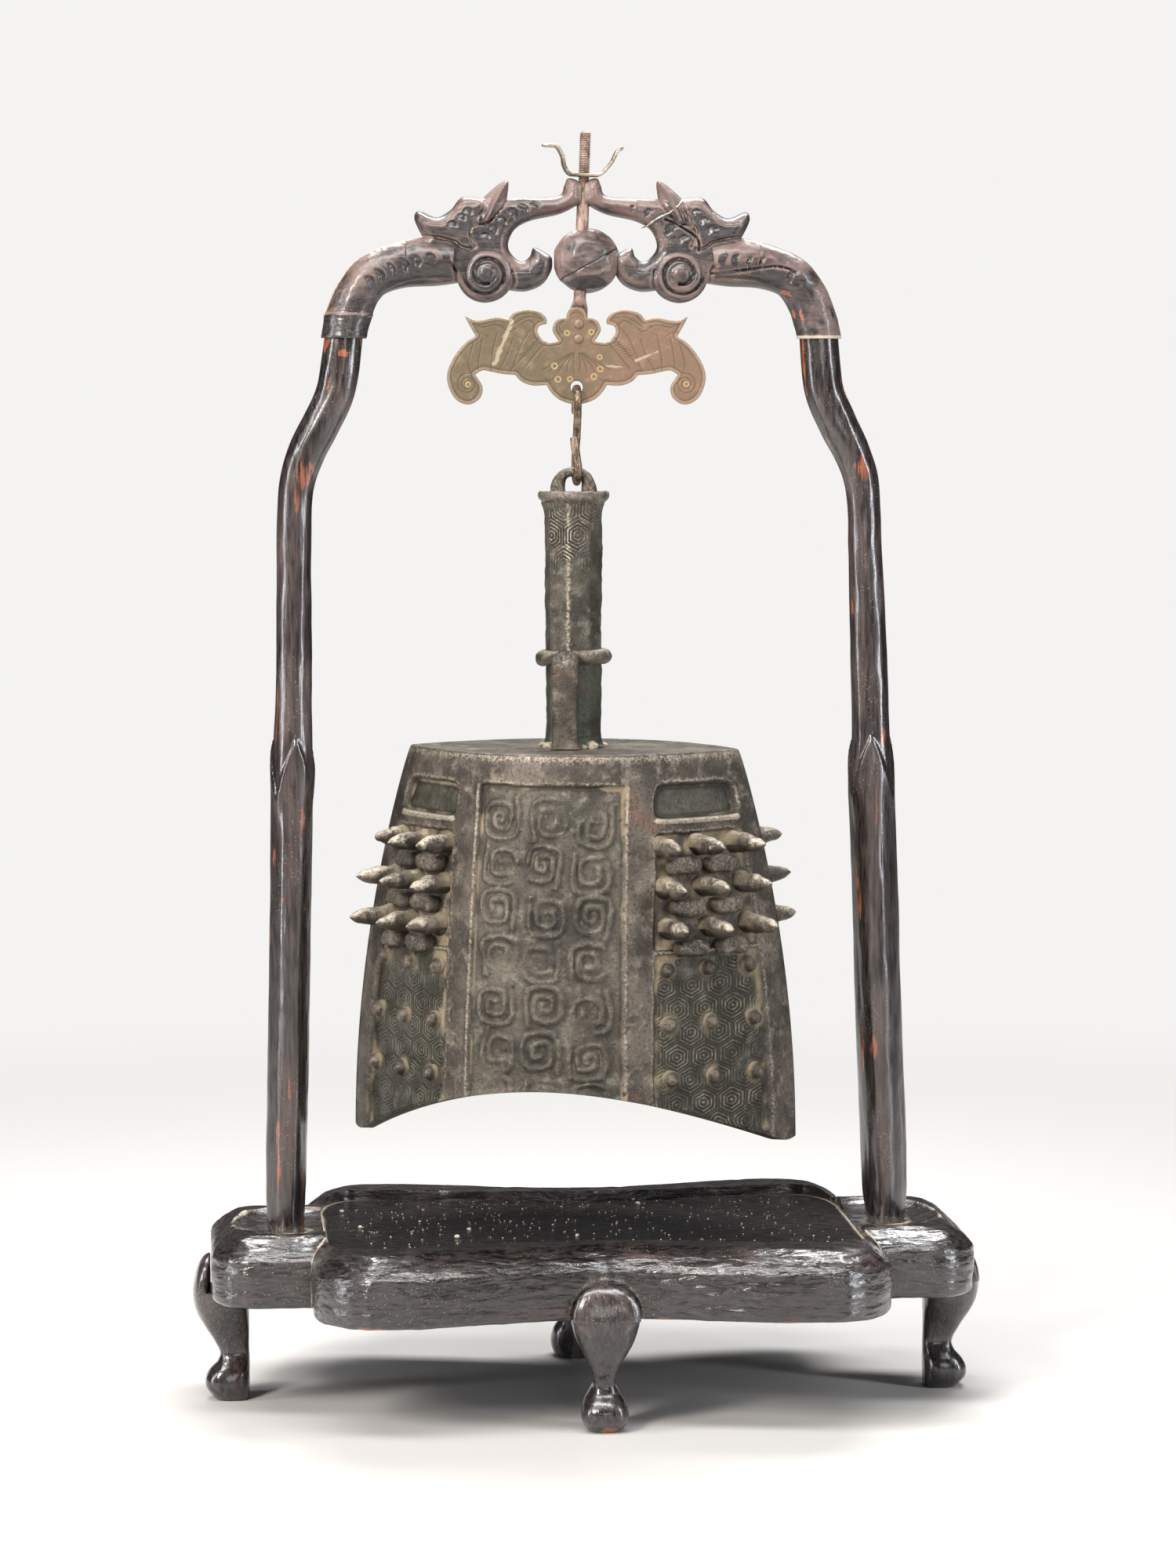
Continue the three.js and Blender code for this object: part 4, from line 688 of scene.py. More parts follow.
def buildRails():
    b = baseSizes
    lobe, edge = outlineQuarter()
    outline = fourFold(np.vstack([lobe, edge[1:]]))
    front, recessFront = twoFold(edge), twoFold(recessQuarter())
    for name, side, seed in (("front_rail", -1, 11), ("back_rail", 1, 12)):
        outer, inner = (resample(line * (1, side), 361) for line in (front, recessFront))
        points, lift = rippled(railGrid(outer, inner, outline), seed, side > 0)
        z = points[..., 2]
        legDust = 0.5 * bump(np.hypot(points[..., 0], z - 66) - 20.5, 2.0) * (z < 88)
        # the shoulder band and the top edge are painted lighter: rubbed lacquer plus a painted sheen
        shoulderWearAndSheen = 0.5 * smoothStep(88, 93, z) * smoothStep(101, 96, z)
        patches = Patches()
        patches.grid(points, flip=side < 0, worn=shoulderWearAndSheen + lift * 0.5 + 0.3 * smoothStep(97, 100, z),
                     dust=mitreDust(361) + legDust + 0.34 * smoothStep(95, 99, z), chip=chipsAt(points, chipSpots))
        for row, turn in ((0, side < 0), (-1, side > 0)):
            ring = points[row]
            patches.grid(np.stack([ring, (ring + ring.mean(axis=0)) / 2]), closeCols=True, flip=not turn)
        buildWood(name, patches, railWood)
    lobeFull = np.vstack([lobe[::-1], (lobe * (1, -1))[1:]])
    for name, side, seed in (("right_end", 1, 13), ("left_end", -1, 14)):
        outer = resample(lobeFull, 241)
        across = np.linspace(b["recessEnd"], -b["recessEnd"], 241)
        inner = np.column_stack([np.full(241, b["recessWidth"]), across])
        points, lift = rippled(railGrid(outer * (side, 1), inner * (side, 1), outline), seed, side > 0)
        high = points[..., 2] > 90
        foot = np.hypot(points[..., 0] - side * b["post"], points[..., 1]) - b["socket"]
        rim = np.abs(np.sqrt(dishReach(points, side)) - 1) * b["dishWide"]
        scatter = 0.6 + 0.5 * noiseAt(points, 7, seed + 30)
        dust = (1.1 * bump(foot, 4.2) + 0.5 * bump(rim, 1.2)) * high * scatter + mitreDust(241)
        points[..., 2] += 1.5 * bump(foot - 0.1, 2.4) * high * scatter
        topDust = 0.24 * (points[..., 2] > 97)
        patches = Patches()
        patches.grid(points, flip=side < 0, worn=0.25 + lift * 0.5, dust=dust + topDust * (1 + 0.5 * scatter))
        buildWood(name, patches, railWood)


# Sunk panel: p(s, f) = middle + f (edge(s) - middle), lifted a little by noise along the grain
def buildTray():
    quarter = np.vstack([[(baseSizes["recessWidth"], 0)], recessQuarter()])
    outline = resample(fourFold(quarter)[:-1], 400)[:-1] * 0.998
    shares = np.linspace(1, 0, 90)[:-1]
    plan = shares[:, None, None] * outline[None]
    points = surface(plan[..., 0], plan[..., 1], float(baseSizes["panel"]))
    points[..., 2] += 0.12 * fractal(points, (60, 14, 10), 31, 2) - 0.1
    patches = Patches()
    edgeDust = 0.75 * np.exp(-(1 - shares) * 60)[:, None]
    scatter = 0.16 * smoothStep(0.1, 0.9, noiseAt(points, 34, 40)) + 0.04
    # the front of the panel is painted lighter brown: rubbed lacquer and dust film plus a painted sheen
    patches.grid(points, closeCols=True, capEnd=True, flip=True,
                 worn=0.5 * smoothStep(-10, -70, plan[..., 1]) * smoothStep(-0.6, 0.6, noiseAt(points, (60, 8, 9), 8)),
                 dust=edgeDust + scatter)
    buildObject("tray_panel_wood", patches, trayLacquer, "stand", ("tray_panel",), 40)


# Fallen dust and crumbs on the sunk panel: flattened balls, p(t) = r (sin t, 0.7 cos t)
crumbSizes = dict(count=420, big=9, halfLong=140, halfDeep=85, flat=0.7)


def buildCrumbs():
    s = crumbSizes
    patches = Patches()
    arc = np.linspace(0, math.pi, 7)
    for k in range(s["count"]):
        x, y = rng.uniform(-s["halfLong"], s["halfLong"]), rng.uniform(-s["halfDeep"], s["halfDeep"])
        if abs(x) > 120 and abs(y) > 70:
            continue
        radius = rng.uniform(0.9, 1.7) if k < s["big"] else rng.uniform(0.18, 0.5)
        profile = np.column_stack([radius * np.sin(arc), -radius * s["flat"] * np.cos(arc)])
        lathe(patches, profile, (x, y, baseSizes["panel"] + radius * 0.5), sides=8, dust=1.0)
    buildObject("tray_crumbs", patches, crumbStuff, "stand", (), 180)


buildRails()
buildTray()
buildCrumbs()
print("base done")


# Legs: superellipse rings, out(z) and half-width(z) read from the solids' table and smoothed
legTable = np.array([
    (0, 0.58, 0.46), (0.03, 0.66, 0.6), (0.08, 0.77, 0.69), (0.14, 0.79, 0.7), (0.2, 0.71, 0.63), (0.26, 0.57, 0.46),
    (0.33, 0.53, 0.34), (0.43, 0.67, 0.44), (0.53, 0.84, 0.66), (0.63, 0.96, 0.87), (0.74, 1, 1), (0.84, 0.97, 1),
    (0.92, 0.9, 0.84), (0.97, 0.82, 0.58), (1, 0.74, 0.24)])
legSizes = dict(height=83, depth=31.6, width=18.5, lap=10.3, seat=63.3, power=0.72)


def buildLegs():
    s = legSizes
    rows = catmull(legTable * (s["height"], s["depth"], s["width"]), 8)
    turn = turns(56)
    across, out = signedPower(np.cos(turn), s["power"]), signedPower(np.sin(turn), s["power"])
    face = s["depth"] - s["lap"]
    endFace = baseSizes["halfWidth"]
    frontFace = baseSizes["lobeDepth"] + frontEdge[-1][1] * (baseSizes["cornerDepth"] - baseSizes["lobeDepth"])
    seats = (("leg_back", 0, frontFace, 51), ("leg_left", 90, endFace, 52), ("leg_front", 180, frontFace, 53),
             ("leg_right", 270, endFace, 54))
    for name, angle, plane, seed in seats:
        inner = np.where(rows[:, 0] > s["seat"] - 0.3, face + 0.3, 0)[:, None]
        middle = (inner + rows[:, 1:2]) / 2
        x = rows[:, 2:3] * across
        y = middle + (rows[:, 1:2] - inner) / 2 * out
        z = rows[:, :1]
        points = surface(x, y, z)
        lift = 0.35 * fractal(points, (9, 9, 16), seed, 3)
        points = points + surface(across, out, 0) * (lift * smoothStep(0, 3, z))[..., None]
        points[..., 1] += plane - face
        chip = chipsAt(surface(x, z, 0), [(-2, 1.5, 0, 3.2)]) * (out > 0)
        wornLeg = 0.45 * smoothStep(40, 60, z) + 0.3 * smoothStep(22, 8, z) + lift * 0.4
        dust = 0.4 * bump(z - 80, 2.0) + 0.35 * bump(y - (face + 0.3), 1.2) * (z > s["seat"])
        patches = Patches()
        patches.closed(points @ spinZ(angle), worn=wornLeg, dust=dust, chip=chip)
        buildWood(name, patches, legWood)


buildLegs()
print("legs done")


# Posts: p(s, a) = line(s) + r(s, a) (cos a side + sin a across); r has three ribs and a pointed sheath below
postSizes = dict(foot=171.9, floor=76.3, top=600.2, radius=11, crest=-3.1, sheath=376, sheathDrop=34, ribTurn=0.12)
postLines = {
    -1: [(0, 1), (0.05, 0.999), (0.17, 0.988), (0.315, 0.975), (0.46, 0.963), (0.6, 0.954), (0.72, 0.948),
         (0.815, 0.943), (0.85, 0.932), (0.88, 0.9), (0.91, 0.854), (0.946, 0.806), (1, 0.781)],
    1: [(0, 1), (0.05, 0.999), (0.17, 0.988), (0.315, 0.975), (0.46, 0.963), (0.6, 0.953), (0.69, 0.945),
        (0.775, 0.936), (0.815, 0.932), (0.85, 0.92), (0.88, 0.888), (0.91, 0.842), (0.946, 0.798), (1, 0.781)]}
postGirth = [(0, 0.93), (0.05, 0.96), (0.12, 1), (0.54, 1.02), (0.6, 0.94), (0.82, 0.85), (0.9, 0.99), (0.96, 1.02),
             (1, 1)]


def postCentre(side, up):
    p = postSizes
    line = catmull(postLines[side], 20)
    out = np.interp(up, line[:, 0], line[:, 1])
    return np.column_stack([side * out * p["foot"] + p["crest"] * np.sin(up * math.pi / 2), np.zeros_like(up),
                            p["floor"] + up * (p["top"] - p["floor"])])


def buildPosts():
    for name, side, stout, seed in (("left_post", -1, 1.0, 61), ("right_post", 1, 1.14, 62)):
        up = np.linspace(0, 1, 330)
        line = postCentre(side, up)
        a, u, z = turns(72)[None, :], up[:, None], line[:, 2:]
        # the sheath's pointed end stands over each rib: tip(a) = sheath - drop (|a - rib| / 60 degrees)^1.25
        ribTurn = -math.pi / 2 - side * postSizes["ribTurn"]
        phase = (a - ribTurn + math.pi / 3) % (2 * math.pi / 3) - math.pi / 3
        tip = postSizes["sheath"] - postSizes["sheathDrop"] * (np.abs(phase) / (math.pi / 3)) ** 1.25
        sheath = smoothStep(1.5, -1.5, z - tip)
        below = smoothStep(12, -22, z - tip) * smoothStep(0.02, 0.07, u)
        ribs = 1 + 0.085 * below * np.cos(3 * (a - ribTurn)) - 0.02 * below
        girth = 1 + (stout - 1) * smoothStep(380, 340, z) * smoothStep(0.03, 0.08, u)
        radius = postSizes["radius"] * table(postGirth, up)[:, None] * ribs * girth
        radius = radius + 0.9 * sheath * bump(z - tip, 16) + 0.5 * sheath * smoothStep(0.03, 0.07, u)
        rough = around(radius, a, z)
        lift = 0.4 * fractal(rough, (7, 7, 70), seed, 3) + 0.22 * fractal(rough, (5, 5, 18), seed + 3, 2)
        radius = radius + lift * smoothStep(0.03, 0.06, u)
        patches = Patches()
        flatDark = smoothStep(0.15, 0.6, noiseAt(rough, (8, 8, 60), seed + 9))
        worn = 0.35 - 0.75 * flatDark + 0.4 * below * (np.cos(3 * (a - ribTurn)) - 0.3) + lift * 0.3
        worn = worn - 0.5 * smoothStep(560, 592, z)
        dust = 0.45 * smoothStep(106, 99, z) + 0.3 * bump(z - 597, 2)
        chip = 0.64 * smoothStep(0.3, 0.8, noiseAt(rough, (5, 5, 22), seed + 21))
        if side > 0:
            innerEdge = bump(a - math.pi - 0.4, 0.4) * smoothStep(400, 430, z)
            chip = np.maximum(chip, 0.7 * innerEdge * smoothStep(-0.5, 0.3, noiseAt(rough, (4, 4, 14), seed + 31)))
            chip = chip + 0.85 * bump(z - 102.5, 2.4) * smoothStep(0.0, 0.7, noiseAt(rough, 4, 5))
        else:
            topBand = smoothStep(574, 590, z) * smoothStep(-0.3, 0.4, noiseAt(rough, (5, 5, 8), seed + 31))
            chip = np.maximum(chip, 0.69 * topBand)
        tube(patches, line, radius, 72, worn=worn, dust=dust, chip=chip)
        # the topmost rings lie level under the arm's foot
        rows = np.repeat(line[:, 2], 72)
        level = patches.points[0][:len(rows)]
        level[:, 2] += (rows + 0.2 * smoothStep(596, 600, rows) - level[:, 2]) * smoothStep(582, 597, rows)
        buildWood(name, patches, postWood, 70)


buildPosts()
print("posts done")


# Bell
bellSizes = dict(x=-8.2, turn=-15.6, top=370.6, mouth=147.2, rise=39, topWidth=94.5, width=128, topDepth=66, depth=93,
                 power=2.3, flare=0.87, wall=5, skin=1.2, roof=8, panelInner=57.5, panelInnerLow=60, panelOuter=0.915)


# From the bell's own frame to the shared one: a turn about the vertical and a shift
def bellPlace(points):
    return points @ spinZ(bellSizes["turn"]) + (bellSizes["x"], 0, 0)


def bellHalf(z):
    b = bellSizes
    down = np.clip((b["top"] - z) / (b["top"] - b["mouth"]), 0, 1)
    grow = np.sin(math.pi / 2 * down ** b["flare"])
    return b["topWidth"] + (b["width"] - b["topWidth"]) * grow, b["topDepth"] + (b["depth"] - b["topDepth"]) * grow


# Bell skin: x = s W(z), y = face (1 - |s|^2.3) D(z), over an arched mouth
def bellSkin(share, z, face, inset=0.0, edge=1.7):
    b = bellSizes
    wide, deep = bellHalf(z)
    x = share * (wide - edge * inset)
    y = face * (1 - np.abs(share) ** b["power"]) * (deep - inset)
    return surface(x, y, z)


def rimZ(share):
    b = bellSizes
    corner = np.clip((np.abs(share) - 0.93) / 0.07, 0, 1)
    return b["mouth"] + b["rise"] * (1 - share * share) + 4.5 * corner ** 3


# Distance from the middle of the hexagon that holds the point, measured to its sides
def hexagonField(u, v, pitch):
    rise = pitch * math.sqrt(3) / 2
    best = None
    for du, dv in ((0, 0), (pitch / 2, rise)):
        a = u - du - np.round((u - du) / pitch) * pitch
        c = v - dv - np.round((v - dv) / (2 * rise)) * 2 * rise
        size = a * a + c * c
        if best is None:
            best, ka, kc = size, a, c
        else:
            nearer = size < best
            ka, kc = np.where(nearer, a, ka), np.where(nearer, c, kc)
    return np.maximum(np.abs(ka), np.maximum(np.abs(ka / 2 + kc * rise / pitch), np.abs(ka / 2 - kc * rise / pitch)))


def blurred(grid, reach):
    for axis in (0, 1):
        pad = [(reach + 1, reach) if k == axis else (0, 0) for k in range(2)]
        total = np.cumsum(np.pad(grid, pad, mode="edge"), axis=axis)
        count = grid.shape[axis]
        grid = (np.take(total, range(2 * reach + 1, 2 * reach + 1 + count), axis)
                - np.take(total, range(0, count), axis)) / (2 * reach + 1)
    return grid


def softMin(*distances, round=1.1):
    stack = np.stack(distances)
    return -np.log(np.exp(-round * stack).sum(axis=0)) / round


# Squared spirals, an old repeating ornament, as strokes in a unit square
spiralStroke = np.array([(-0.9, -0.95), (-0.9, 0.9), (0.9, 0.9), (0.9, -0.55), (-0.45, -0.55), (-0.45, 0.5),
                         (0.45, 0.5), (0.45, -0.1), (-0.02, -0.1), (-0.02, 0.18)])


def ornamentDistance(x, z):
    flat = np.stack([x.ravel(), z.ravel()], axis=1)
    distance = np.full(len(flat), 99.0)
    for column, middle in enumerate((-27.5, -1.0, 25.5)):
        for row in range(7):
            centre = (middle + 1.2 * math.sin(3 * row + column), 336.5 - 25.6 * row - 2.0 * column)
            sign = (1 if (row + column) % 2 else -1, 1 if (row // 2 + column) % 2 else -1)
            wobble = noiseAt(np.array([[row * 3.1, column * 2.3, 0], [row, 9.1, column]]), 1.7, 11)
            size = (9.4 + wobble[0], 10.6 + wobble[1])
            stroke = catmull(spiralStroke[:10 - (row + 2 * column) % 3], 4) * sign * size
            stroke = stroke @ spinZ(math.degrees(0.16 * wobble[0]))[:2, :2] + centre
            near = np.abs(flat - centre).max(axis=1) < 14
            distance[near] = np.minimum(distance[near], lineDistance(flat[near], stroke))
    return distance.reshape(x.shape)


# Sunk fields: distances down from the bell's top (small, stud, knob), their depths, and the middle field's half width
fieldSizes = dict(small=17.5, smallHigh=18.9, smallDeep=3.6, stud=43.3, studHigh=65, studDeep=2.4, knob=109.7,
                  knobDeep=1.9, middle=41, middleGrow=4, middleDeep=2.4, hexagon=15.2)


# Height over the skin, with the masks that the shader reads
def bellRelief(points):
    b, f = bellSizes, fieldSizes
    x, z = points[..., 0], points[..., 2]
    wide = bellHalf(z)[0]
    down = (b["top"] - z) / (b["top"] - b["mouth"])
    inner = b["panelInner"] + (b["panelInnerLow"] - b["panelInner"]) * down
    wobble = 0.5 * fractal(points, 9, 3, 2)
    acrossIn, acrossOut = np.abs(x) - inner + wobble, b["panelOuter"] * wide - np.abs(x)
    height, dust, worn, red, green, hexOn = np.zeros((6,) + x.shape)
    smallTop = b["top"] - f["small"]
    small = softMin(acrossIn + 1.5, acrossOut + 1.5, smallTop - z + 1.2, z - smallTop + f["smallHigh"], round=0.5)
    fall = f["smallDeep"] - 1.2 * smoothStep(smallTop - 8, smallTop - 18, z)
    height -= fall * smoothStep(-0.6, 1.5, small)
    lip = bump(z - (smallTop - 19.6), 1.5) * smoothStep(-2, 1, acrossIn) * smoothStep(-2, 1, acrossOut)
    height += 1.5 * lip
    worn += 1.5 * lip - 0.5 * smoothStep(-0.5, 2, small)
    green += 0.8 * smoothStep(0, 2, small)
    studTop = b["top"] - f["stud"]
    studs = softMin(acrossIn + 0.5, acrossOut + 0.5, studTop - z + wobble, z - (studTop - f["studHigh"]))
    studOn = smoothStep(-0.5, 1.6, studs)
    height -= f["studDeep"] * studOn
    dust += 0.42 * studOn
    knobs = softMin(acrossIn, acrossOut, b["top"] - f["knob"] - z)
    knobOn = smoothStep(-0.4, 1.2, knobs)
    height -= f["knobDeep"] * knobOn
    green += 0.55 * knobOn
    dust += 0.5 * bump(knobs - 2.0, 2.6) + 0.16 * bump(small - 1.5, 1.8) * smoothStep(6, -4, smallTop - z - 12)
    hexOn += smoothStep(1.5, 3.5, knobs) * np.where(x > 0, 1.0, 0.75 * smoothStep(262, 236, z))
    half = f["middle"] + f["middleGrow"] * down
    middle = softMin(half - np.abs(x) + 0.3 * wobble, smallTop + 1 - z + 1.5 * wobble)
    middleOn = smoothStep(-0.4, 1.2, middle)
    height -= (f["middleDeep"] - 1.1 * smoothStep(345, 300, z)) * middleOn
    green += 0.25 * middleOn
    dust += 0.35 * bump(middle - 1.2, 1.6) + 0.5 * bump(smallTop - z - 1, 2.0) * middleOn
    ridge = bump(np.abs(x) - half - 1.4, 0.75) * smoothStep(smallTop + 2, smallTop - 1, z)
    height += 0.45 * ridge
    dust += 0.9 * bump(x - half - 1.0, 1.5) * smoothStep(-0.5, 0.5, noiseAt(points, 2.2, 9)) * (z < smallTop)
    worn += 0.15 * ridge * (x < 0)
    line = ornamentDistance(x, z)
    flat = surface(x, 0, z)
    fade = smoothStep(-0.75, -0.1, fractal(flat, 17, 23, 2)) * middleOn
    stroke = smoothStep(2.2, 0.4, line + 0.55 * noiseAt(flat, 3.4, 15)) * fade
    height += 1.25 * stroke
    worn += 0.08 * stroke
    dust += 0.12 * bump(line - 2.4, 0.9) * fade
    red += bump(x - 52, 9) * smoothStep(-0.2, 0.7, fractal(points, 22, 4, 2))
    red += 0.5 * smoothStep(0.35, 0.8, fractal(points, 16, 12, 2))
    sunk = np.maximum(middleOn, np.maximum(knobOn, studOn))
    worn += 0.55 * bump(z - b["top"] + 1.5, 3.5) + 0.18 - 0.3 * sunk
    hexmm = hexagonField(x * 1.12 + 3.0, z - 6.0, f["hexagon"])
    return height, dict(dust=dust, worn=worn, red=red, green=green, hexOn=hexOn, hexmm=hexmm)


# Places on a face: columns as shares of its half width; the first row and the step as shares of its height
reliefColumns = dict(stud=(0.56, 0.725, 0.885), knob=(0.54, 0.705, 0.865), bar=(0.6425, 0.805))
reliefRows = dict(stud=(0.2283, 0.1007), knob=(0.5327, 0.1343), bar=(0.2786, 0.1007))


def reliefPlaces():
    b = bellSizes
    for face in (-1, 1):
        for side in (-1, 1):
            for row in range(3):
                for kind, columns in reliefColumns.items():
                    first, step = reliefRows[kind]
                    z = b["top"] - (first + step * row) * (b["top"] - b["mouth"])
                    for column, share in enumerate(columns):
                        yield kind, face, side, row, column, side * share, z


def gridNormal(points, face):
    normal = unit(np.cross(np.gradient(points, axis=1), np.gradient(points, axis=0)))
    return normal * np.where(normal[..., 1:2] * face < -1e-6, -1, 1)


def buildBellFaces():
    b = bellSizes
    for label, face, columns, rows, seed in (("front", -1, 350, 262, 71), ("back", 1, 250, 190, 72)):
        share = np.linspace(-1, 1, columns)[None, :]
        v = np.linspace(0, 1, rows)[:, None]
        low = rimZ(share)
        z = low + (b["top"] - b["skin"] - low) * v
        share = np.broadcast_to(share, z.shape)
        skin = bellSkin(share, z, face)
        height, masks = bellRelief(skin)
        for kind, which, _, _, _, at, high in reliefPlaces():
            if which != face:
                continue
            d = np.linalg.norm(skin - bellSkin(at, high, face), axis=-1)
            if kind == "knob":
                height += bump(d, 6.5)
                masks["dust"] += 0.55 * bump(d - 6, 2.4)
                masks["hexOn"] *= 1 - bump(d, 5.5)
            elif kind == "stud":
                height += 1.8 * bump(d, 7)
                masks["dust"] += 0.5 * bump(d - 7.5, 2.6)
        cast = 0.35 * fractal(skin, 14, seed, 3) + 0.12 * fractal(skin, 3.0, seed + 4, 2)
        edge = smoothStep(0.0, 0.035, 1 - np.abs(share)) * smoothStep(0, 0.012, v)
        height += cast
        cavity = blurred(height, 4) - height
        patchy = 0.35 + 0.8 * smoothStep(-0.5, 0.6, fractal(skin, 11, seed + 9, 3))
        masks["dust"] = masks["dust"] * patchy + np.clip(cavity / 1.2, 0, 1) * 0.7 * patchy
        # raised relief is rubbed lighter; the hollows are painted darker, a painted shade
        masks["worn"] += np.clip(-cavity, 0, 1) * 0.55 - np.clip(cavity / 0.8, 0, 1) * 0.9
        height = (height - 0.5) * edge - 0.4 * (1 - edge)
        patches = Patches(bronzeMasks)
        patches.grid(bellPlace(skin + gridNormal(skin, face) * height[..., None]), flip=face > 0, **masks)
        buildBronze("bell_skin_" + label, patches, "bell_body", 48)


# Bell's crown, rolled edge, lining and the rim round the mouth, as rings of points round the almond
def buildBellShell():
    b = bellSizes
    turn = turns(360)
    share, face = np.cos(turn), np.sign(np.sin(turn))
    face[0] = face[180] = 0

    def ring(z, inset, edge=1.7):
        return bellSkin(share, z, face, inset, edge)

    patches = Patches(bronzeMasks)
    high, roof = b["top"], b["top"] - b["roof"]
    centre, inside = np.array((0, 0, high)), np.array((0, 0, roof))
    crown = [ring(high - b["skin"], 0.4, 1), ring(high - 0.5, 0.7, 1), ring(high - 0.1, 1.3, 1)]
    crown += [centre + (ring(high, 1.3, 1) - centre) * (f, f, 1) for f in np.linspace(0.985, 0.01, 90)]
    crown = np.stack(crown)
    swirl = surface(crown[..., 0] + 9 * noiseAt(crown, 24, 3), crown[..., 1] * 3.2 + 9 * noiseAt(crown, 30, 5), 0)
    lines = np.abs(noiseAt(swirl, (15, 12, 9), 6)) ** 0.7
    crown[3:, :, 2] += (0.35 * (lines - 0.6) + 0.25 * fractal(crown, 10, 8, 2) - 0.35)[3:]
    patches.grid(bellPlace(crown), closeCols=True, capEnd=True, worn=0.5 * smoothStep(0.25, 0.65, lines) - 0.1,
                 dust=0.4 * (lines < 0.2))
    low = rimZ(share)
    lip = [ring(low, 0.4, 1), ring(low - 0.3, 1.0, 1), ring(low - 0.3, 4.2), ring(low + 0.4, 4.9),
           ring(low + 2, b["wall"])]
    lip += [ring(low + (roof - low) * f, b["wall"]) for f in np.linspace(0.03, 1, 70)]
    lip += [inside + (ring(roof, b["wall"]) - inside) * (f, f, 1) for f in np.linspace(0.95, 0.02, 22)]
    lip = np.stack(lip)
    lip[4:] += (0.35 * fractal(lip, 9, 9, 3))[4:, :, None] * (0.5, 0.5, 0.1)
    patches.grid(bellPlace(lip), closeCols=True, flip=True, capEnd=True, dust=0.45, green=0.5,
                 worn=np.where(np.arange(len(lip)) < 3, 0.4, -0.3)[:, None])
    buildBronze("bell_crown_and_lining", patches, "bell_body")


# Studs, bars and knobs: revolved profiles with lumpy casting; studs end in a rounded point, one is broken off
def buildBellRelief():
    patches = Patches(bronzeMasks)
    a = turns(36)
    up = np.array([0, 0, 1.0])
    for kind, face, side, row, column, share, z in reliefPlaces():
        here = bellSkin(share, z, face)
        along = unit(bellSkin(share + 0.01, z, face) - bellSkin(share - 0.01, z, face))
        normal = np.array([along[1], -along[0], 0.0])
        normal *= 1 if normal[1] * face > 0 else -1
        seed = 200 + 40 * (face + 1) + 20 * (side + 1) + 3 * row + column
        tilt = [noiseAt(np.array(place), 1.3, k) for place, k in (((seed * 1.7, 0, 0), 5), ((0, seed * 1.3, 0), 6))]
        if kind == "bar":
            t = np.linspace(-1, 1, 25)
            path = here + normal * 0.5 + np.outer(t * 11.5, along) + np.outer(0.5 * np.sin(3 * t + seed), up)
            fat = 4.4 * np.sqrt(np.clip(1 - np.abs(t) ** 7, 0.01, 1))
            ring = signedPower(np.cos(a), 0.72)[:, None] * normal + 1.08 * signedPower(np.sin(a), 0.72)[:, None] * up
            points = path[:, None] + fat[:, None, None] * ring
            points += 0.6 * fractal(points, 5, seed, 3)[..., None] * ring
            top = np.clip((points - path[:, None]) @ normal / 4, 0, 1)
            patches.closed(bellPlace(points), flip=True, worn=0.9 * top - 0.45, dust=0.6 * (1 - top))
            continue
        if kind == "stud":
            broken = face < 0 and side < 0 and row == 0 and column == 2
            length = 24.0 - (7 if broken else 0) + tilt[0] * 0.8
            tip = length - 3.2
            h = np.concatenate([np.linspace(-3.5, tip, 26), tip + 3.2 * np.sin(np.linspace(0.15, 1.5, 7))])
            f = np.clip(h / length, 0, 1)
            r = 5.0 + 0.5 * np.sin(math.pi * f) - 3.6 * f ** 2.6 + 1.4 * np.exp(-np.maximum(h, 0) / 2.2)
            r *= np.sqrt(np.clip(1 - np.clip((f - 0.8) / 0.2, 0, 1) ** (4 if broken else 2.2), 0.01, 1))
            axis = unit(normal + up * (-0.009 + 0.05 * tilt[0]) + along * 0.05 * tilt[1])
        else:
            length = 5.4 + 0.5 * tilt[0]
            h = np.concatenate([[-2.5, 0], np.linspace(0.8, length, 12)])
            f = np.clip(h / length, 0, 1)
            r = 4.15 * np.sqrt(np.clip(1 - f ** 2.4, 0.004, 1)) + np.exp(-np.maximum(h, 0))
            axis = normal
        other = unit(np.cross(axis, up))
        ring = np.cos(a)[:, None] * other + np.sin(a)[:, None] * np.cross(other, axis)
        points = here + r[:, None, None] * ring + h[:, None, None] * axis
        lump = fractal(points, 5.5, seed, 3)
        points += (0.62 * lump * np.clip(r, 0, 3)[:, None] / 3)[..., None] * ring - 1.3 * normal
        high = f[:, None]
        if kind == "stud":
            # upper is the side facing up: painted light on the studs' tops and painted shade on their undersides
            upper = 0.7 * np.sin(a)
            patches.closed(bellPlace(points), flip=True, worn=0.65 * high - 0.25 + upper + 0.6 * lump,
                           dust=0.85 * (1 - high) ** 1.4 * (upper > -0.2),
                           red=0.9 * (lump > 0.4) * (1 if row == 0 and column == 0 else 0.3))
        else:
            patches.closed(bellPlace(points), flip=True, worn=0.5 * high - 0.1, dust=0.9 * (1 - high) ** 2,
                           red=0.5 * (lump > 0.25))
    buildBronze("bell_studs_bars_knobs", patches, "bell_body", 70)


buildBellFaces()
buildBellShell()
buildBellRelief()
print("bell done")


# Handle: faceted shaft under a flanged cap, a ring and a standing bar, an arch over the eye
handleSizes = dict(cap=514.7, shaft=15.8, widening=0.8, ring=50.6, ringReach=17.3, ringWire=3.9, barWidth=7.3,
                   archRise=13.9, eyeRise=8.05, archRadius=13.4)
flangeProfile = ((16.4, -7.6), (17.6, -6.2), (19.4, -4.4), (20.0, -3.2), (20.1, -1.6), (19.7, -0.4), (19.0, 0),
                 (18.2, -0.5), (17.2, -1.6), (15, -2.2), (8, -2.0), (1, -2.0))
solderLumps = ((-12, -13.5, 3.6), (12.5, -12, 4.2), (-17, -3, 2.6), (17, 2, 2.8), (9, -17.5, 2.2))


